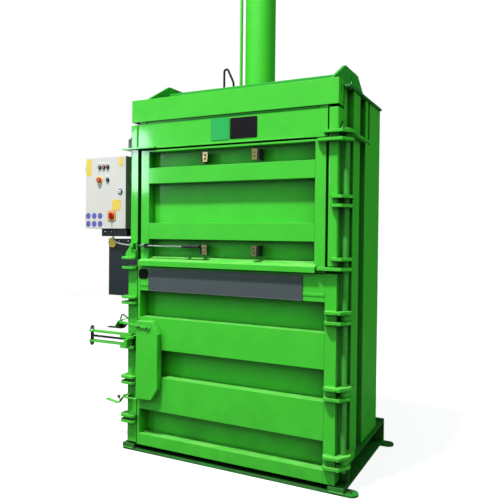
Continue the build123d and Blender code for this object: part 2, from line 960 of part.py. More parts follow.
def bale_door_ears():
    """Clevis plates that wrap the right stile and turn on the hinge bar."""
    start = half_width - ear_on_stile
    tip = front - ear_forward
    outline = [
        (start, front), (start, tip + ear_corner), (start + ear_corner, tip),
        (hinge_x, tip), (hinge_x + ear_radius, hinge_y), (hinge_x, hinge_y), (half_width, front),
    ]
    ears = []
    for level in clevis_levels():
        for z0 in (level - clevis_height / 2, level + clevis_height / 2 - ear_plate):
            z1 = z0 + ear_plate
            ear = flat_plate(outline, z0, z1)
            ear += rod_z(hinge_x, hinge_y, z0, z1, ear_radius)
            ear -= slab(start, half_width, front, bale_back, z0, z1)
            ear -= rod_z(hinge_x, hinge_y, z0, z1, hinge_bar_radius + running_fit)
            ears.append(ear)
    return group(ears)


cover_left = bale_left + cover_left_inset
cover_right = half_width - cover_right_inset
cover_top = bale_top - cover_top_inset
cover_bottom = bale_top - top_rail


def door_cover():
    """Plain grey cover sheet on the bale door's top rail."""
    return slab(cover_left, cover_right, front - cover_sheet, front, cover_bottom, cover_top)


def cover_screws():
    """Pan-head screws near the cover's upper corners."""
    screws = []
    z = cover_top - cover_screw_drop
    y1 = front - cover_sheet
    for x in (cover_left + cover_screw_inset, cover_right - cover_screw_inset):
        head = rod_y(x, y1 - cover_screw_head, y1, z, cover_screw_radius)
        rim = head.edges().filter_by(GeomType.CIRCLE).sort_by(Axis.Y)[0]
        screws.append(chamfer(rim, cover_screw_head / 3))
    return group(screws)


def lock_cover():
    """Eight-cornered housing over the door lock, open towards the door."""
    x0 = bale_left + lock_cover_inset
    x1 = x0 + lock_cover_width
    z0 = bale_bottom + lock_cover_start
    z1 = z0 + lock_cover_height
    cut = lock_cover_chamfer
    slope = cut * 0.65
    outline = [
        (x0 + slope, z0), (x1 - slope, z0), (x1, z0 + cut), (x1, z1 - cut),
        (x1 - slope, z1), (x0 + slope, z1), (x0, z1 - cut), (x0, z0 + cut),
    ]
    y0 = front - lock_cover_proud
    body = face_plate(outline, y0, front)
    rim = body.edges().filter_by(Plane.XZ).group_by(Axis.Y)[0]
    body = fillet(rim, lock_cover_wall / 2)
    wall = lock_cover_wall
    inner = [
        (x0 + slope, z0 + wall), (x1 - slope, z0 + wall), (x1 - wall, z0 + cut), (x1 - wall, z1 - cut),
        (x1 - slope, z1 - wall), (x0 + slope, z1 - wall), (x0 + wall, z1 - cut), (x0 + wall, z0 + cut),
    ]
    return body - face_plate(inner, y0 + wall, front)


def feed_door_frame():
    """Stiles and rails of the feed door with its forward sill."""
    y1 = front + feed_door_thick - feed_sheet
    x0 = feed_left + feed_left_stile
    x1 = feed_right - feed_right_stile
    frame = hat_member(feed_left, x0, feed_bottom, feed_top, front, y1)
    frame += hat_member(x1, feed_right, feed_bottom, feed_top, front, y1)
    starts = [0.0, feed_low_rail_start, feed_high_rail_start, feed_door_height - feed_thin_rail]
    heights = [sill_height + feed_thin_rail, feed_low_rail, feed_high_rail, feed_thin_rail]
    for start, height in zip(starts, heights):
        z0 = feed_bottom + start
        frame += hat_member(x0, x1, z0, z0 + height, front, y1)
    tip = front - sill_proud
    rail_top = sill_top + feed_thin_rail
    chute_top = sill_top + (y1 - tip) * feed_thin_rail / sill_proud
    nose = [(tip, feed_bottom), (front, feed_bottom), (front, rail_top), (tip, sill_top)]
    chute = [(front, rail_top), (y1, rail_top), (y1, chute_top)]
    frame += side_plate(nose, feed_left, sill_right)
    return frame + side_plate(chute, x0, x1)


def feed_door_sheet():
    """Back sheet of the feed door."""
    y1 = front + feed_door_thick
    return slab(feed_left, feed_right, y1 - feed_sheet, y1, feed_bottom, feed_top)


def feed_door_arms():
    """Two arms that reach from the feed door round the post to the hinge bar."""
    tip = front - ear_forward
    clear_y = front - arm_front_play
    clear_x = half_width + arm_side_play
    reach = hinge_x + ear_radius
    corner_y = hinge_y - (ear_radius - ear_corner)
    outline = [
        (sill_right, front), (sill_right, tip + ear_corner), (sill_right + ear_corner, tip),
        (hinge_x, tip), (reach, corner_y), (reach, hinge_y), (hinge_x, hinge_y),
        (clear_x, hinge_y), (clear_x, clear_y), (feed_right, clear_y), (feed_right, front),
    ]
    arms = []
    low_top = sill_top
    for z0, z1 in ((low_top - arm_low_plate, low_top), (feed_top - arm_top_plate, feed_top)):
        arm = flat_plate(outline, z0, z1)
        arm += rod_z(hinge_x, hinge_y, z0, z1, ear_inner_radius)
        arm -= rod_z(hinge_x, hinge_y, z0, z1, hinge_bar_radius + running_fit)
        arms.append(arm)
    return group(arms)


def strap_stations():
    """Left edge, bar edge and height of each strap bracket."""
    stations = []
    for level in (strap_bracket_low, strap_bracket_high):
        z0 = feed_bottom + level
        stations.append((strap_bracket_left, strap_bracket_left - strap_bar_width, z0))
        right = strap_bracket_right - strap_bracket_width
        stations.append((right, strap_bracket_right, z0))
    return stations


def strap_brackets():
    """Plated strap guides on the feed door, each with a square hole."""
    plates = []
    for x0, bar_x, z0 in strap_stations():
        y0 = front - strap_bracket_sheet
        plate = slab(x0, x0 + strap_bracket_width, y0, front, z0, z0 + strap_bracket_height)
        xm = x0 + strap_bracket_width / 2
        zm = z0 + strap_bracket_height / 2
        half = strap_hole / 2
        for sign in (-1, 1):
            zc = zm + sign * strap_hole
            plate -= slab(xm - half, xm + half, y0, front, zc - half, zc + half)
        bend = front + door_member_wall
        foot_x = x0 if bar_x < x0 else x0 + strap_bracket_width - strap_bracket_sheet
        foot = slab(foot_x, foot_x + strap_bracket_sheet, front, bend, z0, z0 + strap_bracket_height)
        plates.append(plate + foot)
    return group(plates)


def strap_bars():
    """Black upright bars that carry the strap guides on the door sheet."""
    bars = []
    y1 = front + feed_door_thick - feed_sheet
    for x0, bar_x, z0 in strap_stations():
        y0 = front - strap_bracket_sheet
        bars.append(slab(bar_x, bar_x + strap_bar_width, y0, y1, z0, z0 + strap_bracket_height))
    return group(bars)


bolt_y = front - bolt_forward
bolt_z = feed_bottom + bolt_level
housing_x1 = strap_bracket_left - strap_bar_width
housing_x0 = housing_x1 - bolt_housing_length
bolt_tip = -half_width + post_face_left + bolt_travel * 0.64
bolt_guide_x = feed_left + feed_left_stile - bolt_guide_width


def bolt_housing():
    """Spring housing of the feed door bolt, its foot and its guide block."""
    body = rod_x(housing_x0, housing_x1, bolt_y, bolt_z, bolt_housing_radius)
    y1 = front + feed_door_thick - feed_sheet
    foot_x = housing_x0 + bolt_housing_radius
    half = bolt_housing_radius * 0.7
    body += slab(foot_x, foot_x + bolt_guide_width, bolt_y, y1, bolt_z - half, bolt_z + half)
    body -= rod_x(housing_x0, housing_x1 - bolt_radius, bolt_y, bolt_z, bolt_radius + running_fit)
    z_half = bolt_guide_height / 2
    guide = slab(
        bolt_guide_x, bolt_guide_x + bolt_guide_width, front - 2 * bolt_forward, front,
        bolt_z - z_half, bolt_z + z_half,
    )
    x1 = bolt_guide_x + bolt_guide_width
    guide -= rod_x(bolt_guide_x, x1, bolt_y, bolt_z, bolt_radius + running_fit)
    return group([body, guide])


def bolt_rod():
    """Sliding bolt of the feed door with its pull knob."""
    end = housing_x1 - bolt_radius - bolt_tip_gap
    rod = rod_x(bolt_tip, end, bolt_y, bolt_z, bolt_radius)
    knob_x = feed_left + bolt_knob_inset - bolt_knob_length / 2
    knob = rod_x(knob_x, knob_x + bolt_knob_length, bolt_y, bolt_z, bolt_knob_radius)
    rims = knob.edges().filter_by(GeomType.CIRCLE)
    return rod + fillet(rims, bolt_knob_length / 4)


# Hinge line and lock post


def hinge_bar():
    """Round bar that carries both doors."""
    top = header_bottom + hinge_bar_rise
    return rod_z(hinge_x, hinge_y, hinge_bar_start, top, hinge_bar_radius)


def hinge_brackets():
    """Tongues, post ears and the tie plate that hold the hinge bar."""
    tip = front - ear_forward
    reach = hinge_x + ear_radius
    corner = ear_radius - ear_corner
    bore = hinge_bar_radius + running_fit
    pieces = []
    half = clevis_height / 2 - ear_plate - tongue_play
    for level in clevis_levels():
        z0 = level - half
        z1 = level + half
        tongue = rod_z(hinge_x, hinge_y, z0, z1, ear_inner_radius)
        x0 = hinge_x - ear_inner_radius + arm_side_play
        tongue += slab(x0, hinge_x + ear_inner_radius, hinge_y, mid_rib_y0, z0, z1)
        pieces.append(tongue - rod_z(hinge_x, hinge_y, z0, z1, bore))
    start = half_width - post_ear_foot
    outline = [
        (start, front), (start, tip + ear_corner), (start + ear_corner, tip), (hinge_x, tip),
        (reach, hinge_y - corner), (reach, hinge_y + corner), (rib_outer, mid_rib_y0),
        (half_width, mid_rib_y0), (half_width, front),
    ]
    for level in (post_ear_low, post_ear_middle, post_ear_high):
        z0 = feed_bottom + level - ear_plate / 2
        ear = flat_plate(outline, z0, z0 + ear_plate)
        ear -= right_post_block(z0, z0 + ear_plate)
        pieces.append(ear - rod_z(hinge_x, hinge_y, z0, z0 + ear_plate, bore))
    start = half_width - tie_plate_foot
    side_x = rib_outer + tie_plate_side
    outline = [
        (start, header_front), (start, tip + ear_corner), (start + ear_corner, tip), (hinge_x, tip),
        (reach, hinge_y - corner), (reach, hinge_y + corner), (side_x, mid_rib_y0),
        (side_x, rear_column_y), (rib_outer, rear_column_y), (rib_outer, mid_rib_y0),
        (half_width, mid_rib_y0), (half_width, header_front),
    ]
    z0 = header_bottom + tie_plate_rise
    tie = flat_plate(outline, z0, z0 + ear_plate)
    tie -= right_post_block(z0, z0 + ear_plate)
    pieces.append(tie - rod_z(hinge_x, hinge_y, z0, z0 + ear_plate, bore))
    return group(pieces)


def right_post_block(z0, z1):
    """Room taken by the right post's rounded front corner."""
    inner = half_width - post_face_right
    block = slab(inner, half_width, front, column_y0, z0, z1)
    corners = block.edges().filter_by(Axis.Z).sort_by(Axis.Y)[:2]
    return fillet(corners, post_bend)


def lock_plate(forward, z0, z1):
    """A plate that wraps the lock post's outer front corner."""
    right = lock_right + arm_side_play
    left = lock_left - lock_ear_reach
    tip = front - forward
    outline = [
        (right, front), (right, tip + ear_corner), (right - ear_corner, tip),
        (lock_left - lock_ear_reach / 2, tip), (left, tip + lock_ear_reach / 2),
        (left, front + lock_ear_reach), (lock_left, front + 2 * lock_ear_reach * 0.9),
        (lock_left, front),
    ]
    return flat_plate(outline, z0, z1)


def lock_post():
    """Box post at the left with welded ears, latch ears and the catch's stud."""
    z0 = bale_bottom + lock_post_start
    post = slab(lock_left, lock_right, front, column_y0, z0, feed_bottom)
    wall = lock_post_wall
    post -= slab(
        lock_left + wall, lock_right - wall, front + wall, column_y0 - wall, z0, feed_bottom - wall
    )
    half = lock_ear_pitch / 2
    for level in (lock_ear_low, lock_ear_second, lock_ear_third):
        for sign in (-1, 1):
            za = bale_bottom + level + sign * half - lock_ear_plate / 2
            post += lock_plate(lock_ear_forward, za, za + lock_ear_plate)
    za = feed_bottom - lock_ear_top_drop
    post += lock_plate(lock_ear_forward, za, za + lock_ear_plate)
    for za in (latch_low, latch_high):
        ear = lock_plate(latch_ear_forward, za, za + latch_ear_plate)
        post += ear - rod_z(handle_x, handle_y, za, za + latch_ear_plate, handle_pin_radius + running_fit)
    stud_x, stud_y, stud_z = catch_pivot()
    post += rod_y(stud_x, front - catch_stud_length, front, stud_z, catch_stud_radius)
    return post


def stop_ledge():
    """Short ledge under the header's left end."""
    x0 = -half_width - stop_plate_reach
    y0 = header_front - stop_plate_depth
    z1 = header_bottom + stop_plate
    x1 = x0 + stop_plate_length
    ledge = slab(x0, x1, y0, front, header_bottom, z1)
    ledge += slab(header_left, x1, front, header_front, header_bottom, z1)
    return ledge + slab(x0, -half_width, front, column_y0, header_bottom, z1)


# Closing handle and catch


def latch_hub():
    """Pin and nose that press the bale door shut."""
    z0 = latch_low + latch_ear_plate
    z1 = latch_high
    pin_top = latch_high + latch_ear_plate + 2 * arm_play + arm_plate + arm_play
    hub_low = z0 + 2 * arm_play + arm_plate
    hub = rod_z(handle_x, handle_y, latch_low, pin_top, handle_pin_radius)
    hub += rod_z(handle_x, handle_y, hub_low, z1 - arm_play, hub_radius)
    half = nose_width / 2
    nose = slab(
        handle_x - half, handle_x + half, handle_y - nose_length, handle_y, hub_low, z1 - arm_play
    )
    corners = nose.edges().filter_by(Axis.Z).group_by(Axis.Y)[0]
    hub += fillet(corners, half / 2)
    return hub


def arm_levels():
    """Underside of the lower and of the upper handle arm."""
    low = latch_low + latch_ear_plate + arm_play
    high = latch_high + latch_ear_plate + arm_play
    return low, high


def handle_arms():
    """Two flat arms with rounded ends, one above the other."""
    arms = []
    end = handle_x - arm_length + arm_width / 2
    for z0 in arm_levels():
        z1 = z0 + arm_plate
        half = arm_width / 2
        arm = slab(end, handle_x, handle_y - half, handle_y + half, z0, z1)
        arm += rod_z(end, handle_y, z0, z1, half)
        arm += rod_z(handle_x, handle_y, z0, z1, half)
        arm -= rod_z(handle_x, handle_y, z0, z1, handle_pin_radius)
        arm -= rod_z(grip_x, handle_y, z0, z1, grip_radius)
        arms.append(arm)
    return group(arms)


grip_x = handle_x - arm_length + grip_inset


def handle_grip():
    """Black grip through both arms and the brace that ties it to the hub."""
    low, high = arm_levels()
    grip = rod_z(grip_x, handle_y, low - arm_play, high + arm_plate + grip_overhang, grip_radius)
    tie_z = (low + arm_plate + high) / 2
    tie = rod_x(grip_x, handle_x - hub_radius, handle_y, tie_z, tie_rod_radius)
    return grip + tie


def catch_pivot():
    """Where the safety catch turns on its stud."""
    return lock_left + catch_inset, front - catch_forward, bale_bottom + catch_level


def safety_catch():
    """Zigzag catch cut from flat bar."""
    px, py, pz = catch_pivot()
    points = [
        (px + catch_nose_x, pz + catch_nose_z), (px, pz), (px + catch_bend_x, pz + catch_bend_z),
        (px + catch_low_x, pz + catch_low_z), (px + catch_end_x, pz + catch_end_z),
    ]
    y0 = py - catch_plate / 2
    y1 = py + catch_plate / 2
    bar = bent_strip(points, catch_width, y0, y1)
    stem_x = px + catch_low_x
    stem_z = pz + catch_low_z
    knob_z = pz + catch_bend_z
    bar += bent_strip([(stem_x, stem_z), (stem_x + catch_bend_x / 3, knob_z)], catch_width / 2, y0, y1)
    return bar - rod_y(px, y0, y1, pz, catch_stud_radius + running_fit)


def switch_bracket():
    """Bent strap from the lock post to the flat plate above the handle."""
    y0 = front + switch_setback
    y1 = y0 + switch_depth
    z0 = bale_bottom + switch_level
    top = z0 + switch_rise
    points = [
        (lock_left, top), (lock_left - switch_bend * 0.55, top),
        (lock_left - switch_bend, z0), (lock_left - switch_reach, z0),
    ]
    strap = bent_strip(points, switch_plate, y0, y1)
    return strap - slab(lock_left, lock_right, y0, y1, z0, top + switch_plate)


def switch_body():
    """Black limit switch that stands on the bracket's plate."""
    y0 = front + switch_setback
    z0 = bale_bottom + switch_level + switch_plate / 2
    x1 = lock_left - switch_body_start - switch_body_width / 2
    body = slab(
        x1 - switch_body_width, x1, y0, y0 + switch_depth, z0, z0 + switch_body_height
    )
    edges = body.edges().filter_by(Axis.Y).group_by(Axis.Z)[-1]
    return fillet(edges, switch_plate)


def switch_cable():
    """Cable that arches from the switch to the lock post's side."""
    y = front + switch_setback + switch_depth / 2
    x0 = lock_left - switch_body_start - switch_body_width
    z0 = bale_bottom + switch_level + switch_plate / 2 + switch_body_height
    top = z0 + switch_cable_rise
    x1 = lock_left - switch_cable_end
    z1 = z0 + switch_cable_drop
    points = [(x0, y, z0), (x0, y, top), (x1, y, z1), (lock_left, y, z1)]
    print("switch cable bend radii", switch_cable_bend, switch_cable_drop, "mm")
    return tube_along(points, cable_radius, [switch_cable_bend, switch_cable_drop])


# Control box and power pack


def box_shell():
    """Steel cabinet, open at the front, with its fixed hinge halves."""
    shell = slab(box_left, box_right, box_front, box_front + box_depth, box_bottom, box_top)
    wall = box_wall
    shell -= slab(
        box_left + wall, box_right - wall, box_front, box_front + box_depth - wall,
        box_bottom + wall, box_top - wall,
    )
    for z0 in hinge_stations():
        z1 = z0 + box_knuckle_length
        shell += slab(box_left - box_leaf, box_left, box_hinge_y, box_front + box_arm_depth, z0, z1)
        shell += rod_z(box_hinge_x, box_hinge_y, z0, z1, box_hinge_radius)
        pin_top = z1 + box_knuckle_length
        shell += rod_z(box_hinge_x, box_hinge_y, z0, pin_top, box_pin_radius)
    return shell


def hinge_stations():
    """Lower end of each fixed hinge half of the control box."""
    return box_bottom + box_knuckle_inset, box_top - box_knuckle_inset - 2 * box_knuckle_length


def button_places():
    """X and Z of the four push buttons on the panel."""
    first = box_left + control_first
    high = box_top - control_drop_high
    low = box_top - control_drop_low
    last = first + 2 * control_pitch
    return [(first, high), (first + control_pitch, high), (last, high), (last, low)]


stop_x = box_left + control_first
stop_z = box_top - control_drop_low
switch_x = box_left + switch_column
switch_z = box_bottom + switch_row
lock_x = box_left + lock_column
lock_z = box_bottom + lock_row


def box_door():
    """Pan door of the control box with its hinge halves and drilled panel."""
    x0 = box_left + box_door_inset
    y1 = box_front - box_door_gap
    wall = box_wall
    door = slab(x0, box_right, box_panel, y1, box_bottom, box_top)
    rim = door.edges().group_by(Axis.Y)[0]
    door = fillet(rim, wall / 2)
    door -= slab(x0 + wall, box_right - wall, box_panel + wall, y1, box_bottom + wall, box_top - wall)
    for z in hinge_stations():
        z0 = z + box_knuckle_length
        z1 = z0 + box_knuckle_length
        door += slab(box_hinge_x, x0, box_hinge_y - box_leaf / 2, box_hinge_y + box_leaf / 2, z0, z1)
        door += rod_z(box_hinge_x, box_hinge_y, z0, z1, box_hinge_radius)
        door -= rod_z(box_hinge_x, box_hinge_y, z0, z1, box_pin_radius + running_fit)
    for x, z in button_places():
        door -= rod_y(x, box_panel, box_panel + wall, z, button_radius + running_fit)
    for x, z in ((stop_x, stop_z), (switch_x, switch_z), (lock_x, lock_z)):
        door -= rod_y(x, box_panel, box_panel + wall, z, stem_radius + running_fit)
    return door


def button_bezels():
    """Black rings round the push buttons."""
    rings = []
    y0 = box_panel - bezel_proud
    for x, z in button_places():
        ring = rod_y(x, y0, box_panel, z, bezel_radius)
        outer = ring.edges().filter_by(GeomType.CIRCLE).sort_by(Axis.Y)[0]
        ring = chamfer(outer, bezel_proud / 4)
        rings.append(ring - rod_y(x, y0, box_panel, z, button_radius + running_fit))
    return group(rings)


def push_button(index):
    """One push button with a softly rounded cap."""
    x, z = button_places()[index]
    y0 = box_panel - button_proud
    cap = rod_y(x, y0, box_panel + button_stem, z, button_radius)
    rim = cap.edges().filter_by(GeomType.CIRCLE).sort_by(Axis.Y)[0]
    return fillet(rim, button_proud / 6)


def e_stop():
    """Mushroom head on its stem."""
    stem = rod_y(stop_x, box_panel - mushroom_gap, box_panel + button_stem, stop_z, stem_radius)
    y1 = box_panel - mushroom_gap
    head = rod_y(stop_x, y1 - mushroom_height, y1, stop_z, mushroom_radius)
    rims = head.edges().filter_by(GeomType.CIRCLE).sort_by(Axis.Y)[:1]
    return stem + fillet(rims, mushroom_height / 2)


def main_switch():
    """Turning knob of the main switch with a raised grip bar."""
    stem = rod_y(switch_x, box_panel - box_leaf, box_panel + button_stem, switch_z, stem_radius)
    y1 = box_panel - box_leaf
    y0 = y1 - switch_knob_height
    knob = rod_y(switch_x, y0, y1, switch_z, switch_knob_radius)
    half = switch_grip_width / 2
    reach = switch_knob_radius - box_leaf
    grip = slab(
        switch_x - half, switch_x + half, y0 - switch_grip_height, y0, switch_z - reach, switch_z + reach
    )
    edges = grip.edges().group_by(Axis.Y)[0]
    return stem + knob + fillet(edges, half / 2)


def panel_lock():
    """Quarter-turn lock with a slotted barrel."""
    stem = rod_y(lock_x, box_panel, box_panel + button_stem, lock_z, stem_radius)
    y0 = box_panel - panel_lock_height
    barrel = rod_y(lock_x, y0, box_panel - box_door_gap, lock_z, panel_lock_radius)
    stem += rod_y(lock_x, box_panel - box_door_gap, box_panel, lock_z, stem_radius)
    half = box_leaf / 2
    reach = panel_lock_radius * 0.7
    slot = slab(lock_x - half, lock_x + half, y0, y0 + box_leaf, lock_z - reach, lock_z + reach)
    return stem + barrel - slot


def side_brackets():
    """Arms of the control box and pads of the tank on the left ribs."""
    pieces = []
    y0 = mid_rib_y0 + rib_wall
    for z0 in (box_bottom + box_arm_inset, box_top - box_arm_inset - box_arm_height):
        arm = slab(box_right, -rib_outer, y0, y0 + box_arm_depth, z0, z0 + box_arm_height)
        pieces.append(arm - slab(box_right, -rib_outer, y0 + rib_wall, y0 + box_arm_depth,
                                 z0 + rib_wall, z0 + box_arm_height - rib_wall))
    for y0, y1 in ((mid_rib_y0, mid_rib_y1), (rear_column_y, tank_rear)):
        for z0 in (tank_bottom + box_arm_height, tank_top - 2 * box_arm_height):
            pieces.append(slab(tank_right, -rib_outer, y0, y1, z0, z0 + box_arm_height))
    return group(pieces)


def cable_duct():
    """Black duct under the control box."""
    x0 = box_left + duct_left_inset
    x1 = box_right - duct_right_inset
    y0 = box_front + duct_setback
    y1 = y0 + duct_depth
    z0 = box_bottom - duct_height
    duct = slab(x0, x1, y0, y1, z0, box_bottom)
    wall = duct_wall
    return duct - slab(x0 + wall, x1 - wall, y0 + wall, y1 - wall, z0 + wall, box_bottom)


def tank_shell():
    """Open oil tank hung on the left ribs."""
    tank = slab(tank_left, tank_right, tank_front, tank_rear, tank_bottom, tank_top)
    corners = tank.edges().filter_by(Axis.Z)
    tank = fillet(corners, 3 * tank_wall)
    wall = tank_wall
    return tank - slab(
        tank_left + wall, tank_right - wall, tank_front + wall, tank_rear - wall,
        tank_bottom + wall, tank_top,
    )


def power_unit():
    """Tank lid with the finned pump motor and its terminal box."""
    lid_top = tank_top + tank_lid
    unit = slab(tank_left, tank_right, tank_front, tank_rear, tank_top, lid_top)
    x = (tank_left + tank_right) / 2
    y = tank_front + motor_setback
    top = lid_top + motor_height
    core = motor_radius - motor_fin
    body = rod_z(x, y, lid_top, top - motor_height / 5, core)
    for index in range(motor_fin_count):
        turn = Pos(x, y, 0) * Rot(0, 0, index * 360 / motor_fin_count)
        z0 = lid_top + motor_height / 8
        z1 = top - motor_height / 5
        body += turn * slab(core - motor_fin, motor_radius - motor_fin_gap, -motor_fin / 4, motor_fin / 4, z0, z1)
    cowl = rod_z(x, y, top - motor_height / 5, top, motor_radius)
    cowl = fillet(cowl.edges().sort_by(Axis.Z)[-1], 2 * motor_fin)
    unit += body
    unit += cowl
    z0 = lid_top + motor_height / 3
    half = motor_radius / 2
    unit += slab(x - half, x + half, y - motor_radius - half, y - core / 2, z0, z0 + motor_radius)
    return unit


def filler_cap():
    """Round filler cap on its short neck at the tank's front."""
    x = tank_left + cap_radius + 2 * tank_wall
    z = tank_top - cap_neck_radius - tank_wall
    neck_y = tank_front - cap_neck
    cap = rod_y(x, tank_front - cap_proud, neck_y, z, cap_radius)
    rim = cap.edges().filter_by(GeomType.CIRCLE).sort_by(Axis.Y)[0]
    return fillet(rim, cap_proud / 4) + rod_y(x, neck_y, tank_front, z, cap_neck_radius)


def box_cable():
    """Supply cable from the duct to the left column."""
    y = column_y0 + column_depth / 3
    x0 = box_left + duct_left_inset + duct_depth * 0.66
    z0 = box_bottom - duct_height
    z1 = tank_top - box_cable_bend / 2
    z2 = z1 - box_cable_bend / 2
    x1 = -half_width - 2 * box_cable_bend
    points = [(x0, y, z0), (x0, y, z1), (x1, y, z2), (-half_width, y, z2)]
    print("box cable bend radius", box_cable_bend, "mm")
    return tube_along(points, box_cable_radius, box_cable_bend)


nodes = {
    "foot_bars": foot_bars(),
    "base_frame": base_frame(),
    "chamber_floor": chamber_floor(),
    "left_wall": mirror_x(right_wall()),
    "right_wall": right_wall(),
    "back_wall": back_wall(),
    "retaining_teeth": retaining_teeth(),
    "left_post": left_post(),
    "right_post": front_post(post_face_right),
    "header_beam": header_beam(),
    "top_fascia": top_fascia(),
    "roof_plate": roof(),
    "crosshead": crosshead(),
    "cylinder_barrel": cylinder_barrel(),
    "flange_bolts": flange_bolts(),
    "cylinder_gland": cylinder_gland(),
    "piston_rod": piston_rod(),
    "platen": platen(),
    "oil_line": oil_line(),
    "cylinder_hose": cylinder_hose(),
    "ejector_plate": ejector_plate(),
    "bale_door_frame": bale_door_frame(),
    "bale_door_sheet": bale_door_sheet(),
    "bale_door_ears": bale_door_ears(),
    "door_cover": door_cover(),
    "cover_screws": cover_screws(),
    "lock_cover": lock_cover(),
    "feed_door_frame": feed_door_frame(),
    "feed_door_sheet": feed_door_sheet(),
    "feed_door_arms": feed_door_arms(),
    "strap_brackets": strap_brackets(),
    "strap_bars": strap_bars(),
    "bolt_housing": bolt_housing(),
    "bolt_rod": bolt_rod(),
    "hinge_bar": hinge_bar(),
    "hinge_brackets": hinge_brackets(),
    "lock_post": lock_post(),
    "latch_hub": latch_hub(),
    "handle_arms": handle_arms(),
    "handle_grip": handle_grip(),
    "safety_catch": safety_catch(),
    "switch_bracket": switch_bracket(),
    "switch_body": switch_body(),
    "switch_cable": switch_cable(),
    "box_shell": box_shell(),
    "box_door": box_door(),
    "button_bezels": button_bezels(),
    "start_button": push_button(0),
    "stop_button": push_button(1),
    "raise_button": push_button(2),
    "lower_button": push_button(3),
    "e_stop": e_stop(),
    "main_switch": main_switch(),
    "panel_lock": panel_lock(),
    "side_brackets": side_brackets(),
    "cable_duct": cable_duct(),
    "tank_shell": tank_shell(),
    "power_unit": power_unit(),
    "filler_cap": filler_cap(),
    "box_cable": box_cable(),
}

for name, shape in nodes.items():
    export_step(shape, "parts/" + name + ".step")
print(len(nodes), "nodes written")
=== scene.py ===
# %% [markdown]
# # Vertical recycling baler
# The machine is a welded steel press: a frame of folded plate, a cylinder on a
# crosshead, two doors on one hinge bar, and a control box with a power pack on
# its left side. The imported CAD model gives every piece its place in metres.
# This script adds the paint, the metals, the cables and the small fittings.

# %% Load the frame
import json
import math

import bmesh
import bpy
from mathutils import Matrix, Vector


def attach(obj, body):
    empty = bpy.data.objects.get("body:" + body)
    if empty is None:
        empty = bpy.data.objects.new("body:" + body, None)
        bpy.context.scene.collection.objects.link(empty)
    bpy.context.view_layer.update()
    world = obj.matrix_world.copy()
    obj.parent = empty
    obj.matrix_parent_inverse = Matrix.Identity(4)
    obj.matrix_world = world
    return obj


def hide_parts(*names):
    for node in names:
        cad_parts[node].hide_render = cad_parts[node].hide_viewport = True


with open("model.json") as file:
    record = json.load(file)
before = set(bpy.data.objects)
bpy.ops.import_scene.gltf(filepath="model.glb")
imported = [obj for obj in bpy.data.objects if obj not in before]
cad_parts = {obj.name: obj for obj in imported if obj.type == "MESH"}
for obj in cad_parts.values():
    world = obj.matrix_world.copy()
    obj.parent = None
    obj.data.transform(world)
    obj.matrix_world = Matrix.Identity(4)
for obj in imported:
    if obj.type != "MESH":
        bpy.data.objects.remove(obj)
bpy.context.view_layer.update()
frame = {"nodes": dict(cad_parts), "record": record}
nodes = frame["nodes"]


# %% [markdown]
# ## Camera
# The photograph was taken from the machine's front right at chest height, with
# a normal lens. The camera below was fitted to the corners of the posts, the
# doors and the roof, so the CAD lands on the photographed edges.

# %% Place the camera
scene = bpy.context.scene
camera_place = Vector((1.8437, -3.7484, 1.5670))
yaw = math.radians(26.58)
pitch = math.radians(0.85)
roll = math.radians(0.61)

level_right = Vector((math.cos(yaw), math.sin(yaw), 0))
forward = Vector((
    -math.sin(yaw) * math.cos(pitch), math.cos(yaw) * math.cos(pitch), -math.sin(pitch)))
level_up = level_right.cross(forward)
right = level_right * math.cos(roll) + level_up * math.sin(roll)
up = right.cross(forward)
turn = Matrix((right, up, -forward)).transposed().to_4x4()

camera_data = bpy.data.cameras.new("camera")
camera_data.lens = 41.32
camera_data.sensor_width = 36.0
camera_data.shift_y = -0.0146
camera_data.dof.use_dof = False
camera = bpy.data.objects.new("camera", camera_data)
camera.matrix_world = Matrix.Translation(camera_place) @ turn
scene.collection.objects.link(camera)
scene.camera = camera
print("camera", [round(value, 3) for value in camera.location])

# %% [markdown]
# ## Node helpers
# A material is a short chain of shader nodes. The first helper makes one node,
# sets its sockets to a value or links them to another node's output, so each
# material reads as a list of steps. Four more make the steps that come up most:
# a noise, a product, a spread from one range to another, and a blend of colours.


# %% Make shader nodes
def add(tree, kind, inputs=None, **settings):
    """One node with its settings, input values and links."""
    node = tree.nodes.new(kind)
    for name, value in settings.items():
        setattr(node, name, value)
    for name, value in (inputs or {}).items():
        if isinstance(value, bpy.types.NodeSocket):
            tree.links.new(value, node.inputs[name])
        else:
            node.inputs[name].default_value = value
    return node


def noise(tree, place, scale, detail, roughness=0.5):
    """The grey value of a cloudy pattern."""
    node = add(tree, "ShaderNodeTexNoise", {
        "Vector": place, "Scale": scale, "Detail": detail, "Roughness": roughness})
    return node.outputs["Fac"]


def product(tree, first, second):
    """Two values multiplied."""
    return add(tree, "ShaderNodeMath", {0: first, 1: second}, operation="MULTIPLY").outputs[0]


def spread(tree, value, low, high, new_low=0.0, new_high=1.0):
    """A value moved from one range to another, and kept inside it."""
    node = add(tree, "ShaderNodeMapRange", {
        "Value": value, "From Min": low, "From Max": high, "To Min": new_low, "To Max": new_high})
    return node.outputs["Result"]


def blend(tree, share, base, other):
    """The base colour with a share of the other."""
    node = add(tree, "ShaderNodeMix", {"Factor": share, "A": base, "B": other}, data_type="RGBA")
    return node.outputs["Result"]


def object_place(tree):
    """The place of a point on the object itself."""
    return add(tree, "ShaderNodeTexCoord").outputs["Object"]


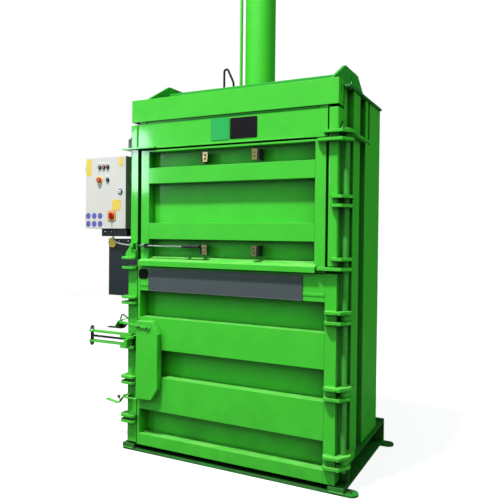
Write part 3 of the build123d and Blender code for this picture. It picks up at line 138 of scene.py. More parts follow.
def new_group(name, inputs, outputs):
    """An empty shader node group: numbers go in, and masks or normals come out."""
    tree = bpy.data.node_groups.new(name, "ShaderNodeTree")
    for label, value in inputs:
        socket = tree.interface.new_socket(label, in_out="INPUT", socket_type="NodeSocketFloat")
        socket.default_value = value
    for label in outputs:
        kind = "NodeSocketVector" if label == "Normal" else "NodeSocketFloat"
        tree.interface.new_socket(label, in_out="OUTPUT", socket_type=kind)
    return tree, tree.nodes.new("NodeGroupInput"), tree.nodes.new("NodeGroupOutput")


def new_material(name):
    """A material with its Principled shader."""
    material = bpy.data.materials.new(name)
    material.use_nodes = True
    tree = material.node_tree
    return material, tree, tree.nodes["Principled BSDF"]


def dress(tree, shader, tone, dull, relief):
    """Give the shader its colour, roughness and surface relief."""
    tree.links.new(tone, shader.inputs["Base Color"])
    tree.links.new(dull, shader.inputs["Roughness"])
    tree.links.new(relief.outputs["Normal"], shader.inputs["Normal"])


# %% [markdown]
# ## Effects that several materials share
# Sprayed paint isn't glass-smooth: it has a fine peel, and thin sheet waves a
# little between its welds, which bends reflections. Corners that hands and
# waste brush against wear thin, and the same edge mask also carries a painted
# highlight along the edges. Grime gathers near the ground and in cloudy
# patches. Corners and bays that something overhangs get painted shade, because
# the light hardly reaches them, so the shade mask looks up and outwards. Faces
# that look up get pale streaks, partly dust and partly a painted sheen of the
# light from above. Each effect is one node group that gives only a height or a
# mask, and the material decides what to do with it.

# %% Peel, grime, edge wear with painted highlight, scratches, painted shade, dust with painted sheen
peel, peel_in, peel_out = new_group(
    "paint peel", [("Fine Scale", 420.0), ("Wave Scale", 2.4)], ["Height"])
fine_share = 0.012
peel_place = object_place(peel)
peel_fine = noise(peel, peel_place, peel_in.outputs["Fine Scale"], 2.0)
peel_wave = noise(peel, peel_place, peel_in.outputs["Wave Scale"], 1.0)
peel_sum = add(peel, "ShaderNodeMath", {
    0: product(peel, peel_fine, fine_share), 1: peel_wave}, operation="ADD")
peel.links.new(peel_sum.outputs[0], peel_out.inputs["Height"])

grime, grime_in, grime_out = new_group(
    "grime", [("Patch Scale", 5.0), ("Reach", 0.55)], ["Mask", "Patches"])
grime_place = object_place(grime)
grime_noise = noise(grime, grime_place, grime_in.outputs["Patch Scale"], 6.0, 0.62)
grime_axes = add(grime, "ShaderNodeSeparateXYZ", {"Vector": grime_place})
grime_low = spread(grime, grime_axes.outputs["Z"], grime_in.outputs["Reach"], 0.0)
grime_patch = spread(grime, grime_noise, 0.42, 0.72)
grime.links.new(product(grime, grime_low, grime_patch), grime_out.inputs["Mask"])
grime.links.new(grime_patch, grime_out.inputs["Patches"])

# The edge mask: wear on the edges, and where the edge tone is paler, a painted highlight.
edges, edges_in, edges_out = new_group(
    "edge wear and painted highlight", [("Width", 0.004), ("Break Up", 60.0)], ["Mask", "Normal"])
edges_round = add(edges, "ShaderNodeBevel", {"Radius": edges_in.outputs["Width"]}, samples=4)
edges_flat = add(edges, "ShaderNodeNewGeometry")
edges_noise = noise(edges, object_place(edges), edges_in.outputs["Break Up"], 4.0)
edges_dot = add(edges, "ShaderNodeVectorMath", {
    0: edges_round.outputs["Normal"], 1: edges_flat.outputs["Normal"]}, operation="DOT_PRODUCT")
edges_turned = spread(edges, edges_dot.outputs["Value"], 0.985, 0.86)
edges_broken = spread(edges, edges_noise, 0.52, 0.66)
edges.links.new(product(edges, edges_turned, edges_broken), edges_out.inputs["Mask"])
edges.links.new(edges_round.outputs["Normal"], edges_out.inputs["Normal"])

scratches, scratches_in, scratches_out = new_group("scratches", [("Scale", 30.0)], ["Mask"])
scratches_turn = add(scratches, "ShaderNodeMapping", {
    "Vector": object_place(scratches), "Rotation": (0.4, 0.9, 0.3), "Scale": (1.0, 9.0, 14.0)})
scratches_noise = noise(
    scratches, scratches_turn.outputs["Vector"], scratches_in.outputs["Scale"], 3.0)
scratches_thin = spread(scratches, scratches_noise, 0.68, 0.76)
scratches.links.new(scratches_thin, scratches_out.inputs["Mask"])

# Painted shade: a mask that darkens corners and bays an overhang keeps from the light.
painted_shade, painted_shade_in, painted_shade_out = new_group("painted_shade", [("Reach", 0.16)], ["Mask"])
lift = (0.0, 0.0, 0.8)
painted_shade_face = add(painted_shade, "ShaderNodeNewGeometry")
painted_shade_lift = add(painted_shade, "ShaderNodeVectorMath", {
    0: painted_shade_face.outputs["Normal"], 1: lift}, operation="ADD")
painted_shade_way = add(painted_shade, "ShaderNodeVectorMath", {
    0: painted_shade_lift.outputs["Vector"]}, operation="NORMALIZE")
painted_shade_open = add(painted_shade, "ShaderNodeAmbientOcclusion", {
    "Distance": painted_shade_in.outputs["Reach"], "Normal": painted_shade_way.outputs["Vector"]}, samples=6)
painted_shade_share = spread(painted_shade, painted_shade_open.outputs["AO"], 0.74, 0.20)
painted_shade.links.new(painted_shade_share, painted_shade_out.inputs["Mask"])

# Paler streaks on faces that look up: partly dust, partly a painted sheen of the light from above.
dust_and_sheen, dust_and_sheen_in, dust_and_sheen_out = new_group("dust and painted sheen", [("Streak Scale", 9.0)], ["Mask"])
dust_and_sheen_face = add(dust_and_sheen, "ShaderNodeNewGeometry")
dust_and_sheen_axes = add(dust_and_sheen, "ShaderNodeSeparateXYZ", {"Vector": dust_and_sheen_face.outputs["Normal"]})
dust_and_sheen_level = spread(dust_and_sheen, dust_and_sheen_axes.outputs["Z"], 0.25, 0.95)
dust_and_sheen_drawn = add(dust_and_sheen, "ShaderNodeMapping", {
    "Vector": object_place(dust_and_sheen), "Scale": (1.0, 2.4, 1.0)})
dust_and_sheen_noise = noise(
    dust_and_sheen, dust_and_sheen_drawn.outputs["Vector"], dust_and_sheen_in.outputs["Streak Scale"], 5.0)
dust_and_sheen_patch = spread(dust_and_sheen, dust_and_sheen_noise, 0.36, 0.60, 0.35, 1.0)
dust_and_sheen.links.new(product(dust_and_sheen, dust_and_sheen_level, dust_and_sheen_patch), dust_and_sheen_out.inputs["Mask"])
print("shared effects:", [group.name for group in bpy.data.node_groups])

# %% [markdown]
# ## Paints
# One function makes every sprayed finish. Its base colour drifts slightly from
# patch to patch and darkens with grime towards the ground. Painted shade darkens
# it in corners and bays that something overhangs, level tops take a paler tone
# that is partly dust and partly painted sheen, and the edges take a tone that is
# partly wear and partly a painted highlight. A clear gloss lies over it, as on a
# fresh two-pack coat. The ribbed sides have deep bays, so their paint takes a
# darker painted shade over a longer reach.

# %% Make a paint
soil_tone = (0.061246, 0.107023, 0.034340, 1)
edge_wear_and_highlight_share = 0.55
patch_dulling, scratch_dulling = 0.09, 0.12
coat_roughness = 0.09
sheet_wave = 0.0012


def paint(name, base, deep, edge_wear_and_highlight_tone, roughness, gloss, dust=0.35, edge=0.004, shade=None,
          dust_and_sheen_tone=None, reach=0.16):
    """Sprayed paint in two tones; shade is a painted shade for corners and bays,
    dust_and_sheen_tone a paler tone for level tops.
    """
    material, tree, shader = new_material(name)
    dirt = add(tree, "ShaderNodeGroup", node_tree=grime)
    edge_wear_and_highlight = add(tree, "ShaderNodeGroup", {"Width": edge}, node_tree=edges)
    skin = add(tree, "ShaderNodeGroup", node_tree=peel)
    marks = add(tree, "ShaderNodeGroup", node_tree=scratches)
    tone = blend(tree, dirt.outputs["Patches"], base, deep)
    tone = blend(tree, product(tree, dirt.outputs["Mask"], dust), tone, soil_tone)
    # Painted shade: overhung corners and bays take the darker shade colour.
    if shade:
        painted_shade_node = add(tree, "ShaderNodeGroup", {"Reach": reach}, node_tree=painted_shade)
        tone = blend(tree, painted_shade_node.outputs["Mask"], tone, shade)
    # Level tops take a paler tone: partly dust, partly a painted sheen.
    if dust_and_sheen_tone:
        dust_and_sheen_node = add(tree, "ShaderNodeGroup", node_tree=dust_and_sheen)
        tone = blend(tree, dust_and_sheen_node.outputs["Mask"], tone, dust_and_sheen_tone)
    # The edges take the edge tone: partly wear, partly a painted highlight.
    tone = blend(tree, product(tree, edge_wear_and_highlight.outputs["Mask"], edge_wear_and_highlight_share), tone, edge_wear_and_highlight_tone)
    dull = spread(
        tree, dirt.outputs["Patches"], 0.0, 1.0, roughness, roughness + patch_dulling)
    dull_marks = add(tree, "ShaderNodeMath", {
        0: marks.outputs["Mask"], 1: scratch_dulling, 2: dull}, operation="MULTIPLY_ADD")
    relief = add(tree, "ShaderNodeBump", {
        "Height": skin.outputs["Height"], "Distance": sheet_wave, "Strength": 0.8,
        "Normal": edge_wear_and_highlight.outputs["Normal"]})
    dress(tree, shader, tone, dull_marks.outputs[0], relief)
    tree.links.new(relief.outputs["Normal"], shader.inputs["Coat Normal"])
    shader.inputs["Coat Weight"].default_value = gloss
    shader.inputs["Coat Roughness"].default_value = coat_roughness
    return material


# Base, patch and edge tones of the green; the paler edge tone is partly wear, partly a painted
# highlight.
machine_green = [(0.052, 0.590, 0.026, 1), (0.041, 0.540, 0.020, 1), (0.16, 0.62, 0.14, 1)]
materials = {
    "green_paint": paint(
        "green paint", *machine_green, 0.50, 0.4,
        shade=(0.003, 0.085, 0.003, 1), dust_and_sheen_tone=(0.15, 0.58, 0.095, 1)),
    # Painted shade: the same green, with a much darker shade reaching deep into the side bays.
    "shaded_side_paint": paint(
        "green paint with deep painted shade in the side bays", *machine_green, 0.50, 0.4,
        shade=(0.001, 0.024, 0.001, 1), reach=0.50),
    # A darker green with more grime; on the base it also paints in the shade under the door.
    "base_paint": paint(
        "green paint near the floor", (0.022, 0.250, 0.028, 1), (0.014, 0.150, 0.018, 1),
        (0.06, 0.26, 0.05, 1), 0.55, 0.15, dust=0.6, shade=(0.003, 0.040, 0.003, 1)),
    "dark_green_paint": paint(
        "dark green paint", (0.024, 0.400, 0.030, 1), (0.020, 0.360, 0.026, 1),
        (0.10, 0.45, 0.10, 1), 0.38, 0.3),
    "grey_paint": paint(
        "slate grey paint", (0.072, 0.086, 0.100, 1), (0.064, 0.078, 0.092, 1),
        (0.24, 0.25, 0.27, 1), 0.42, 0.15),
    "tank_paint": paint(
        "tank paint", (0.018, 0.026, 0.034, 1), (0.014, 0.021, 0.028, 1),
        (0.08, 0.09, 0.10, 1), 0.40, 0.2),
    # Painted shade: the cabinet's side that faces the post turns dark.
    "cabinet_paint": paint(
        "cabinet paint", (0.66, 0.635, 0.62, 1), (0.64, 0.615, 0.605, 1),
        (0.54, 0.52, 0.52, 1), 0.45, 0.1, dust=0.0, shade=(0.03, 0.035, 0.035, 1)),
    "hinge_paint": paint(
        "darker hinge paint", (0.062, 0.440, 0.050, 1), (0.036, 0.270, 0.032, 1),
        (0.14, 0.46, 0.11, 1), 0.42, 0.3, dust=0.8, shade=(0.010, 0.10, 0.010, 1)),
    "black_steel": paint(
        "black steel", (0.014, 0.015, 0.017, 1), (0.018, 0.019, 0.021, 1),
        (0.12, 0.12, 0.12, 1), 0.42, 0.1, edge=0.002),
}
print("paints:", sorted(materials))

# %% [markdown]
# ## Metals, plastics and rubber
# Bare steel keeps the direction of its grinding or turning, plated parts are
# cloudy from the bath, and the rod is polished chrome. Moulded plastics have a
# faint grain and a soft gloss, and the hose and cables have a matt rubber skin.
# The record names a finish for each piece. A few pieces have one of their own:
# the hinge bar takes a darker green; the base, the foot bars and the roof plate
# a darker green with more grime, which on the base also paints in the shade
# under the door; the crosshead a darker green that paints in the shade on its
# lugs; and the ribbed walls a green with a deeper painted shade in their bays.

# %% Make a metal and a moulded skin
even_grain = (1, 1, 1)
drawn_grain = (1.0, 1.0, 0.06)
skin_grain, skin_edge = 900.0, 0.0008


def metal(name, base, cloudy, roughness, grain, stretch=drawn_grain):
    """Bare or plated metal, with grain drawn out along one direction."""
    material, tree, shader = new_material(name)
    place = object_place(tree)
    drawn = add(tree, "ShaderNodeMapping", {"Vector": place, "Scale": stretch})
    lines = noise(tree, drawn.outputs["Vector"], grain, 3.0)
    clouds = noise(tree, place, 24.0, 5.0)
    marks = add(tree, "ShaderNodeGroup", {"Scale": 60.0}, node_tree=scratches)
    tone = blend(tree, spread(tree, clouds, 0.35, 0.7), base, cloudy)
    dull = spread(tree, lines, 0.0, 1.0, roughness - 0.06, roughness + 0.12)
    height = add(tree, "ShaderNodeMath", {
        0: lines, 1: marks.outputs["Mask"]}, operation="SUBTRACT")
    relief = add(tree, "ShaderNodeBump", {
        "Height": height.outputs[0], "Distance": 0.0002, "Strength": 0.5})
    dress(tree, shader, tone, dull, relief)
    shader.inputs["Metallic"].default_value = 1.0
    return material


def moulded(name, base, deep, roughness, shine):
    """Moulded plastic or rubber with a faint grain and softened edges."""
    material, tree, shader = new_material(name)
    place = object_place(tree)
    soft = add(tree, "ShaderNodeGroup", {"Width": skin_edge, "Break Up": 200.0}, node_tree=edges)
    skin = noise(tree, place, skin_grain, 2.0)
    patches = noise(tree, place, 16.0, 4.0)
    tone = blend(tree, patches, base, deep)
    dull = spread(tree, patches, 0.0, 1.0, roughness - 0.05, roughness + 0.07)
    relief = add(tree, "ShaderNodeBump", {
        "Height": skin, "Distance": 0.0001, "Strength": 0.35, "Normal": soft.outputs["Normal"]})
    dress(tree, shader, tone, dull, relief)
    shader.inputs["Specular IOR Level"].default_value = shine
    return material


materials.update({
    "bare_steel": metal(
        "bare steel", (0.42, 0.42, 0.43, 1), (0.32, 0.31, 0.30, 1), 0.38, 160.0),
    "chrome_rod": metal(
        "chromed rod", (0.78, 0.79, 0.80, 1), (0.70, 0.71, 0.73, 1), 0.12, 220.0),
    "zinc_yellow": metal(
        "yellow passivated zinc", (0.80, 0.60, 0.22, 1), (0.72, 0.62, 0.34, 1), 0.34, 90.0,
        even_grain),
    "zinc": metal(
        "plated steel", (0.62, 0.63, 0.64, 1), (0.52, 0.53, 0.55, 1), 0.32, 90.0, even_grain),
})
for slot, name, base, deep, roughness, shine in (
    ("black_plastic", "black plastic", (0.012, 0.012, 0.013), (0.020, 0.020, 0.022), 0.34, 0.5),
    ("black_rubber", "black rubber", (0.006, 0.006, 0.006), (0.011, 0.011, 0.011), 0.58, 0.25),
    ("grey_cable", "grey cable sheath", (0.44, 0.44, 0.43), (0.36, 0.36, 0.35), 0.45, 0.5),
    ("green_plastic", "green plastic", (0.006, 0.17, 0.06), (0.006, 0.13, 0.05), 0.24, 0.5),
    ("red_plastic", "red plastic", (0.52, 0.020, 0.016), (0.42, 0.014, 0.012), 0.26, 0.5),
    ("yellow_plastic", "yellow plastic", (0.80, 0.60, 0.07), (0.72, 0.52, 0.06), 0.4, 0.5),
    ("oil_glass", "oil behind glass", (0.36, 0.20, 0.03), (0.30, 0.16, 0.02), 0.16, 0.5),
    ("matt_black", "matt black", (0.006, 0.004, 0.007), (0.010, 0.007, 0.011), 0.6, 0.15),
    ("slate_plastic", "slate plastic", (0.085, 0.085, 0.095), (0.070, 0.070, 0.080), 0.4, 0.5),
    ("rust_red", "rust red knob", (0.16, 0.035, 0.02), (0.12, 0.03, 0.02), 0.4, 0.5),
    ("plate_enamel", "green enamel", (0.020, 0.44, 0.10), (0.018, 0.40, 0.09), 0.3, 0.5),
    ("orange_plastic", "orange plastic", (0.74, 0.36, 0.05), (0.66, 0.32, 0.05), 0.4, 0.5),
    ("blue_plastic", "blue plastic", (0.10, 0.10, 0.42), (0.12, 0.11, 0.46), 0.4, 0.5),
    ("white_plastic", "white plastic", (0.82, 0.82, 0.82), (0.76, 0.76, 0.77), 0.4, 0.5),
):
    materials[slot] = moulded(name, (*base, 1), (*deep, 1), roughness, shine)
# The crosshead's darker green paints in the shade on its lugs; the side walls carry a deeper
# painted shade; the base's darker green is partly painted shade under the door.
own_finishes = {
    "hinge_bar": "hinge_paint", "foot_bars": "base_paint", "base_frame": "base_paint",
    "roof_plate": "base_paint", "crosshead": "dark_green_paint",
    "right_wall": "shaded_side_paint", "left_wall": "shaded_side_paint"}
for part in frame["record"]["subparts"]:
    shown = nodes[part["node"]]
    finish = materials[own_finishes.get(part["node"], part["material_slot"])]
    if not shown.material_slots:
        shown.data.materials.append(finish)
    for place in shown.material_slots:
        place.material = finish
print(len(materials), "finishes on", len(nodes), "nodes")

# %% [markdown]
# ## Hose and cables
# Three flexible lines show. A short pressure hose rises from a roof fitting,
# bends steeply and comes down on the oil block. A thin cable arches from the
# door switch to the lock post, and a supply cable hangs from the duct to the
# left column. Each is one smooth spline through its route, with a round bevel.


# %% Lay the lines
def line_length(points):
    """Length of the smooth line that the route gives, read from the curve itself."""
    probe = bpy.data.curves.new("probe", "CURVE")
    probe.dimensions = "3D"
    probe.resolution_u = 24
    add_route(probe, points)
    holder = bpy.data.objects.new("probe", probe)
    mesh = bpy.data.meshes.new_from_object(holder)
    places = [vertex.co.copy() for vertex in mesh.vertices]
    length = sum((b - a).length for a, b in zip(places, places[1:]))
    bpy.data.objects.remove(holder)
    bpy.data.curves.remove(probe)
    bpy.data.meshes.remove(mesh)
    return length


def add_route(curve, points):
    """One open NURBS spline with the route's points as its control points."""
    spline = curve.splines.new("NURBS")
    spline.points.add(len(points) - 1)
    for control, place in zip(spline.points, points):
        control.co = (*place, 1.0)
    spline.order_u = 3
    spline.use_endpoint_u = True


def round_bend(before, corner, after, radius, spans=3):
    """Control points that lead the line round a sharp corner at an even radius."""
    corner = Vector(corner)
    back = (Vector(before) - corner).normalized()
    ahead = (Vector(after) - corner).normalized()
    inward = (back + ahead).normalized()
    half = back.angle(ahead) / 2
    step = (math.pi - 2 * half) / spans
    centre = corner + inward * radius / math.sin(half)
    points = []
    for index in range(spans):
        swing = Matrix.Rotation(step * (index - (spans - 1) / 2), 3, ahead.cross(back))
        points.append(centre - swing @ inward * radius / math.cos(step / 2))
    run = 2 * radius * math.tan(step / 2)
    points = [points[0] + back * run, *points, points[-1] + ahead * run]
    return [tuple(point) for point in points]


def lay_line(name, points, radius, finish, replaced):
    """A flexible line held at both ends, in place of its CAD solid."""
    curve = bpy.data.curves.new(name, "CURVE")
    curve.dimensions = "3D"
    curve.resolution_u = 24
    curve.bevel_depth = radius
    curve.bevel_resolution = 6
    curve.use_fill_caps = True
    add_route(curve, points)
    curve.materials.append(materials[finish])
    line = bpy.data.objects.new(name, curve)
    scene.collection.objects.link(line)
    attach(line, "frame")
    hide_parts(replaced)
    length = line_length(points)
    print(name, round(length * 1000), "mm long")


hose_foot, hose_corner = (-0.270, 0.017, 2.516), (-0.270, 0.017, 2.855)
hose_elbow, hose_end = (-0.190, 0.017, 2.690), (-0.190, 0.017, 2.626)
top_bend, end_bend = 0.018, 0.080
lay_line(
    "pressure_hose",
    [hose_foot, *round_bend(hose_foot, hose_corner, hose_elbow, top_bend),
     *round_bend(hose_corner, hose_elbow, hose_end, end_bend, 1), hose_end],
    0.008, "black_rubber", "cylinder_hose")
lay_line(
    "door_switch_cable",
    [(-0.900, -0.387, 0.911), (-0.900, -0.387, 0.981), (-0.826, -0.387, 0.935),
     (-0.796, -0.387, 0.935)],
    0.0048, "black_rubber", "switch_cable")
lay_line(
    "supply_cable",
    [(-1.04732, -0.30233, 1.540), (-1.04732, -0.30233, 1.4925), (-0.860, -0.30233, 1.470),
     (-0.770, -0.30233, 1.470)],
    0.006, "grey_cable", "box_cable")

# %% [markdown]
# ## Mesh helpers
# The small fittings are built in mesh code. On the real machine they are
# pressed, turned or cut from plate, so three forms cover most of them: a block
# with rounded edges, a turned form, and a flat outline with thickness. A fourth
# makes weld beads: a thin tube that thickens and thins where each drop froze.

# %% Build forms and publish pieces
ripple = 0.006
sharp_from = math.radians(35)
flat_above = 0.0001


def extent(node):
    """Lowest and highest corner of a CAD node."""
    corners = [nodes[node].matrix_world @ Vector(corner) for corner in nodes[node].bound_box]
    low = Vector([min(corner[axis] for corner in corners) for axis in range(3)])
    high = Vector([max(corner[axis] for corner in corners) for axis in range(3)])
    return low, high


def join(form, part):
    """Move one bmesh into another."""
    mesh = bpy.data.meshes.new("joined")
    part.to_mesh(mesh)
    part.free()
    form.from_mesh(mesh)
    bpy.data.meshes.remove(mesh)


def soft_block(form, low, high, radius, segments=2):
    """A block between two corners with rounded edges."""
    part = bmesh.new()
    bmesh.ops.create_cube(part, size=1.0)
    low, high = Vector(low), Vector(high)
    for vertex in part.verts:
        share = [value + 0.5 for value in vertex.co]
        vertex.co = Vector([a + (b - a) * t for a, b, t in zip(low, high, share)])
    bmesh.ops.bevel(
        part, geom=part.edges[:], offset=radius, segments=segments, profile=0.5, affect="EDGES")
    join(form, part)


def skin_rings(form, rings):
    """Join rings of points into a closed skin with flat ends."""
    for lower, upper in zip(rings, rings[1:]):
        for step in range(len(lower)):
            after = (step + 1) % len(lower)
            form.faces.new((lower[step], lower[after], upper[after], upper[step]))
    form.faces.new(list(reversed(rings[0])))
    form.faces.new(rings[-1])


def turned(form, profile, place, axis=(0, 0, 1), steps=24):
    """A turned form from its radii and heights, or a prism when steps is small."""
    turn = Vector((0, 0, 1)).rotation_difference(Vector(axis)).to_matrix()
    angles = [2 * math.pi * step / steps for step in range(steps)]
    rings = []
    for radius, height in profile:
        spots = [Vector((radius * math.cos(a), radius * math.sin(a), height)) for a in angles]
        rings.append([form.verts.new(Vector(place) + turn @ spot) for spot in spots])
    skin_rings(form, rings)


def outline_plate(form, points, lift, radius):
    """A flat outline with thickness; lift is the vector from its back to its front."""
    part = bmesh.new()
    back = part.faces.new([part.verts.new(point) for point in points])
    grown = bmesh.ops.extrude_face_region(part, geom=[back])
    front_points = [item for item in grown["geom"] if isinstance(item, bmesh.types.BMVert)]
    bmesh.ops.translate(part, verts=front_points, vec=lift)
    bmesh.ops.recalc_face_normals(part, faces=part.faces[:])
    bmesh.ops.bevel(
        part, geom=part.edges[:], offset=radius, segments=2, profile=0.5, affect="EDGES")
    join(form, part)


def rounded_outline(low_x, high_x, low_z, high_z, face_y, corner):
    """Points round a rectangle with rounded corners on a face that looks to the front."""
    points = []
    for x, z, quarter in (
        (high_x - corner, high_z - corner, 0), (low_x + corner, high_z - corner, 1),
        (low_x + corner, low_z + corner, 2), (high_x - corner, low_z + corner, 3),
    ):
        for step in range(5):
            angle = math.pi / 2 * (quarter + step / 4)
            points.append((x + corner * math.cos(angle), face_y, z + corner * math.sin(angle)))
    return points


def bead(form, points, size=0.003):
    """A weld bead along a line, with one ripple for each frozen drop."""
    places = []
    for a, b in zip(points, points[1:]):
        a, b = Vector(a), Vector(b)
        count = max(2, round((b - a).length / ripple * 2))
        places += [a.lerp(b, index / count) for index in range(count)]
    places.append(Vector(points[-1]))
    rings = []
    for index, place in enumerate(places):
        ahead = places[min(index + 1, len(places) - 1)] - places[max(index - 1, 0)]
        across = ahead.orthogonal().normalized()
        beside = ahead.cross(across).normalized()
        radius = size * (1.0 if index % 2 else 0.78)
        angles = [math.pi * step / 3 for step in range(6)]
        spots = [radius * (math.cos(a) * across + math.sin(a) * beside) for a in angles]
        rings.append([form.verts.new(place + spot) for spot in spots])
    skin_rings(form, rings)


def level_bead(form, start_x, end_x, y, z, size=0.003):
    """A bead that runs level from one side to the other."""
    bead(form, [(start_x, y, z), (end_x, y, z)], size)


def upright_bead(form, x, y, low_z, high_z, size=0.003):
    """A bead that runs straight up."""
    bead(form, [(x, y, low_z), (x, y, high_z)], size)


def publish(name, form, finish, body):
    """Turn the form into a piece that rides on one body; large faces stay flat."""
    bmesh.ops.recalc_face_normals(form, faces=form.faces[:])
    mesh = bpy.data.meshes.new(name)
    form.to_mesh(mesh)
    form.free()
    mesh.shade_smooth()
    mesh.set_sharp_from_angle(angle=sharp_from)
    for polygon in mesh.polygons:
        polygon.use_smooth = polygon.area < flat_above
    mesh.materials.append(materials[finish])
    piece = bpy.data.objects.new(name, mesh)
    scene.collection.objects.link(piece)
    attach(piece, body)
    faces = sum(len(polygon.vertices) - 2 for polygon in mesh.polygons)
    print(name, faces, "triangles on", body)
    return piece


# %% [markdown]
# ## Weld beads
# The frame and the doors are welded from plate. Beads run round the ears and
# arms of the hinge line, along the feet of the lifting lugs and cross beams,
# round the lock housing, and in short stitches where the door sheets meet their
# rails. They are painted over, so they share the green finish, and they catch
# the light as thin broken lines.

# %% Weld the frame and the doors
front_y = -0.430
hinge_x, hinge_y = 0.805, -0.375
stile_x = 0.768
ear_levels = [0.190, 0.607, 1.067]
arm_levels = [1.421, 1.744, 1.799]
beam_front, beam_back = -0.095, 0.245
flange_y, flange_z, flange_radius = 0.075, 2.530, 0.110
fine_bead = 0.0012
clear = 0.004

welds = bmesh.new()
roof_z = extent("roof_plate")[1].z
lug_low, lug_high = extent("crosshead")
for side in (-1, 1):
    for x in (lug_high.x, lug_high.x - 0.020):
        bead(welds, [(side * x, lug_low.y + clear, roof_z), (side * x, lug_high.y - clear, roof_z)])
    for y in (beam_front, -0.040, 0.190, beam_back):
        upright_bead(welds, side * 0.683, y, roof_z + 0.002, roof_z + 0.138)
for y in (beam_front, beam_back):
    level_bead(welds, -0.681, 0.681, y, roof_z)
circle = []
for step in range(49):
    angle = step * math.pi / 24
    circle.append((
        flange_radius * math.cos(angle), flange_y + flange_radius * math.sin(angle), flange_z))
bead(welds, circle, 0.0035)
for level in ear_levels:
    for z in (level - 0.020, level + 0.020):
        level_bead(welds, 0.777, 0.802, -0.233, z)
for level in arm_levels:
    for z in (level - 0.009, level + 0.009):
        level_bead(welds, 0.734, stile_x, front_y, z, 0.0026)
for side in (-1, 1):
    for y in (-0.440, -0.350):
        level_bead(welds, side * 0.830, side * 0.740, y, 0.015, 0.004)
upright_bead(welds, -0.722, front_y, 2.170, 2.336, 0.0022)
upright_bead(welds, -0.770, front_y + 0.105, 0.20, 2.34)
publish("frame_welds", welds, "green_paint", "frame")


def weld_door(form, rails, rail_ends, seams, sheet_y, first_x, pitch, count):
    """Upright beads at the rails' ends, and stitches along the sheet's seams."""
    for low_z, high_z in rails:
        for x in rail_ends:
            upright_bead(form, x, front_y, low_z + clear, high_z - clear, fine_bead)
    for z in seams:
        for index in range(count):
            x = first_x + index * pitch
            level_bead(form, x, x + 0.060, sheet_y, z)


door_welds = bmesh.new()
for level in ear_levels:
    for z in (level - 0.040, level - 0.022, level + 0.022, level + 0.040):
        level_bead(door_welds, 0.700, 0.769, front_y, z, 0.0028)
weld_door(
    door_welds, [(0.050, 0.130), (0.310, 0.550), (0.746, 0.970), (1.158, 1.330)],
    (-0.692, 0.696), (0.130, 0.550, 0.970), -0.340, -0.62, 0.195, 7)
octagon = [
    (-0.63475, 0.394), (-0.56125, 0.394), (-0.506, 0.479), (-0.506, 0.860), (-0.56125, 0.945),
    (-0.63475, 0.945), (-0.690, 0.860), (-0.690, 0.479), (-0.63475, 0.394)]
bead(door_welds, [(x, front_y, z) for x, z in octagon], 0.0025)
publish("bale_door_welds", door_welds, "green_paint", "bale_door")

feed_welds = bmesh.new()
for z in (2.134, 2.152, 1.352, 1.3745):
    level_bead(feed_welds, 0.642, 0.692, front_y, z, 0.0028)
weld_door(
    feed_welds, [(1.526, 1.640), (1.917, 2.027)],
    (-0.620, 0.624), (1.640, 2.027), -0.368, -0.56, 0.2, 6)
publish("feed_door_welds", feed_welds, "green_paint", "feed_door")

# %% [markdown]
# ## Fittings on the doors and the lock side
# The cover sheet on the upper rail of the bale door is thin sheet with folded
# edges, so a shallow turned lip runs round it. A narrow raised strip on the rail
# comes out at both its ends. To its left sits a round-cornered rubber plug in a
# cut-out. A flat bar screwed to the lock housing reaches over the lock post,
# and two plates square the housing's left corners.

# %% Cover edges, plug and lock bar
cover_low, cover_high = extent("door_cover")
fold, lip_rise, strip_rise, strip_gap = 0.005, 0.002, 0.003, 0.001
lip = bmesh.new()
for x0, x1, z0, z1 in (
    (cover_low.x, cover_high.x, cover_high.z - fold, cover_high.z),
    (cover_low.x, cover_high.x, cover_low.z, cover_low.z + fold),
    (cover_low.x, cover_low.x + fold, cover_low.z, cover_high.z),
    (cover_high.x - fold, cover_high.x, cover_low.z, cover_high.z),
):
    soft_block(lip, (x0, cover_low.y - lip_rise, z0), (x1, cover_high.y, z1), 0.0014)
publish("cover_lip", lip, "grey_paint", "bale_door")

strips = bmesh.new()
for x0, x1 in ((-0.690, cover_low.x - strip_gap), (cover_high.x + strip_gap, 0.694)):
    soft_block(strips, (x0, front_y - strip_rise, 1.191), (x1, front_y, 1.210), 0.0013)
publish("rail_strips", strips, "green_paint", "bale_door")

plug = bmesh.new()
for low_x, high_x, low_z, high_z, face_y, corner, thick in (
    (-0.703, -0.625, 1.243, 1.311, front_y + 0.002, 0.020, 0.007),
    (-0.693, -0.635, 1.253, 1.301, front_y, 0.014, 0.0085),
):
    plug_outline = rounded_outline(low_x, high_x, low_z, high_z, face_y, corner)
    outline_plate(plug, plug_outline, (0, -thick, 0), 0.002)
publish("door_plug", plug, "matt_black", "bale_door")

bar_back, bar_thick, bar_width = -0.479, 0.008, 0.018
lock_bar = bmesh.new()
bar_line = [(-0.832, 0.935), (-0.800, 0.934), (-0.690, 0.922), (-0.566, 0.909)]
bar_top = [(x, bar_back, z) for x, z in bar_line]
bar_foot = [(x, bar_back, z - bar_width) for x, z in reversed(bar_line)]
outline_plate(lock_bar, bar_top + bar_foot, (0, -bar_thick, 0), 0.0015)
publish("lock_bar", lock_bar, "green_paint", "bale_door")

corners = bmesh.new()
for z_corner, z_side in ((0.394, 0.479), (0.945, 0.860)):
    triangle = [
        (-0.690, front_y, z_corner), (-0.630, front_y, z_corner), (-0.690, front_y, z_side)]
    outline_plate(corners, triangle, (0, -0.048, 0), 0.002)
publish("lock_cover_corners", corners, "green_paint", "bale_door")

# %% [markdown]
# ## Post foot, cladding and seam
# The feed post stands on a thick foot plate above the lock post, and a gusset
# flares out to it. A folded cladding with a rounded front edge gives the feed
# post its full width on the outer side. A dark green strip set back in the
# shadow gap between the header and the fascia above it is painted shade for
# that gap. Two bolts hold the lock bar.

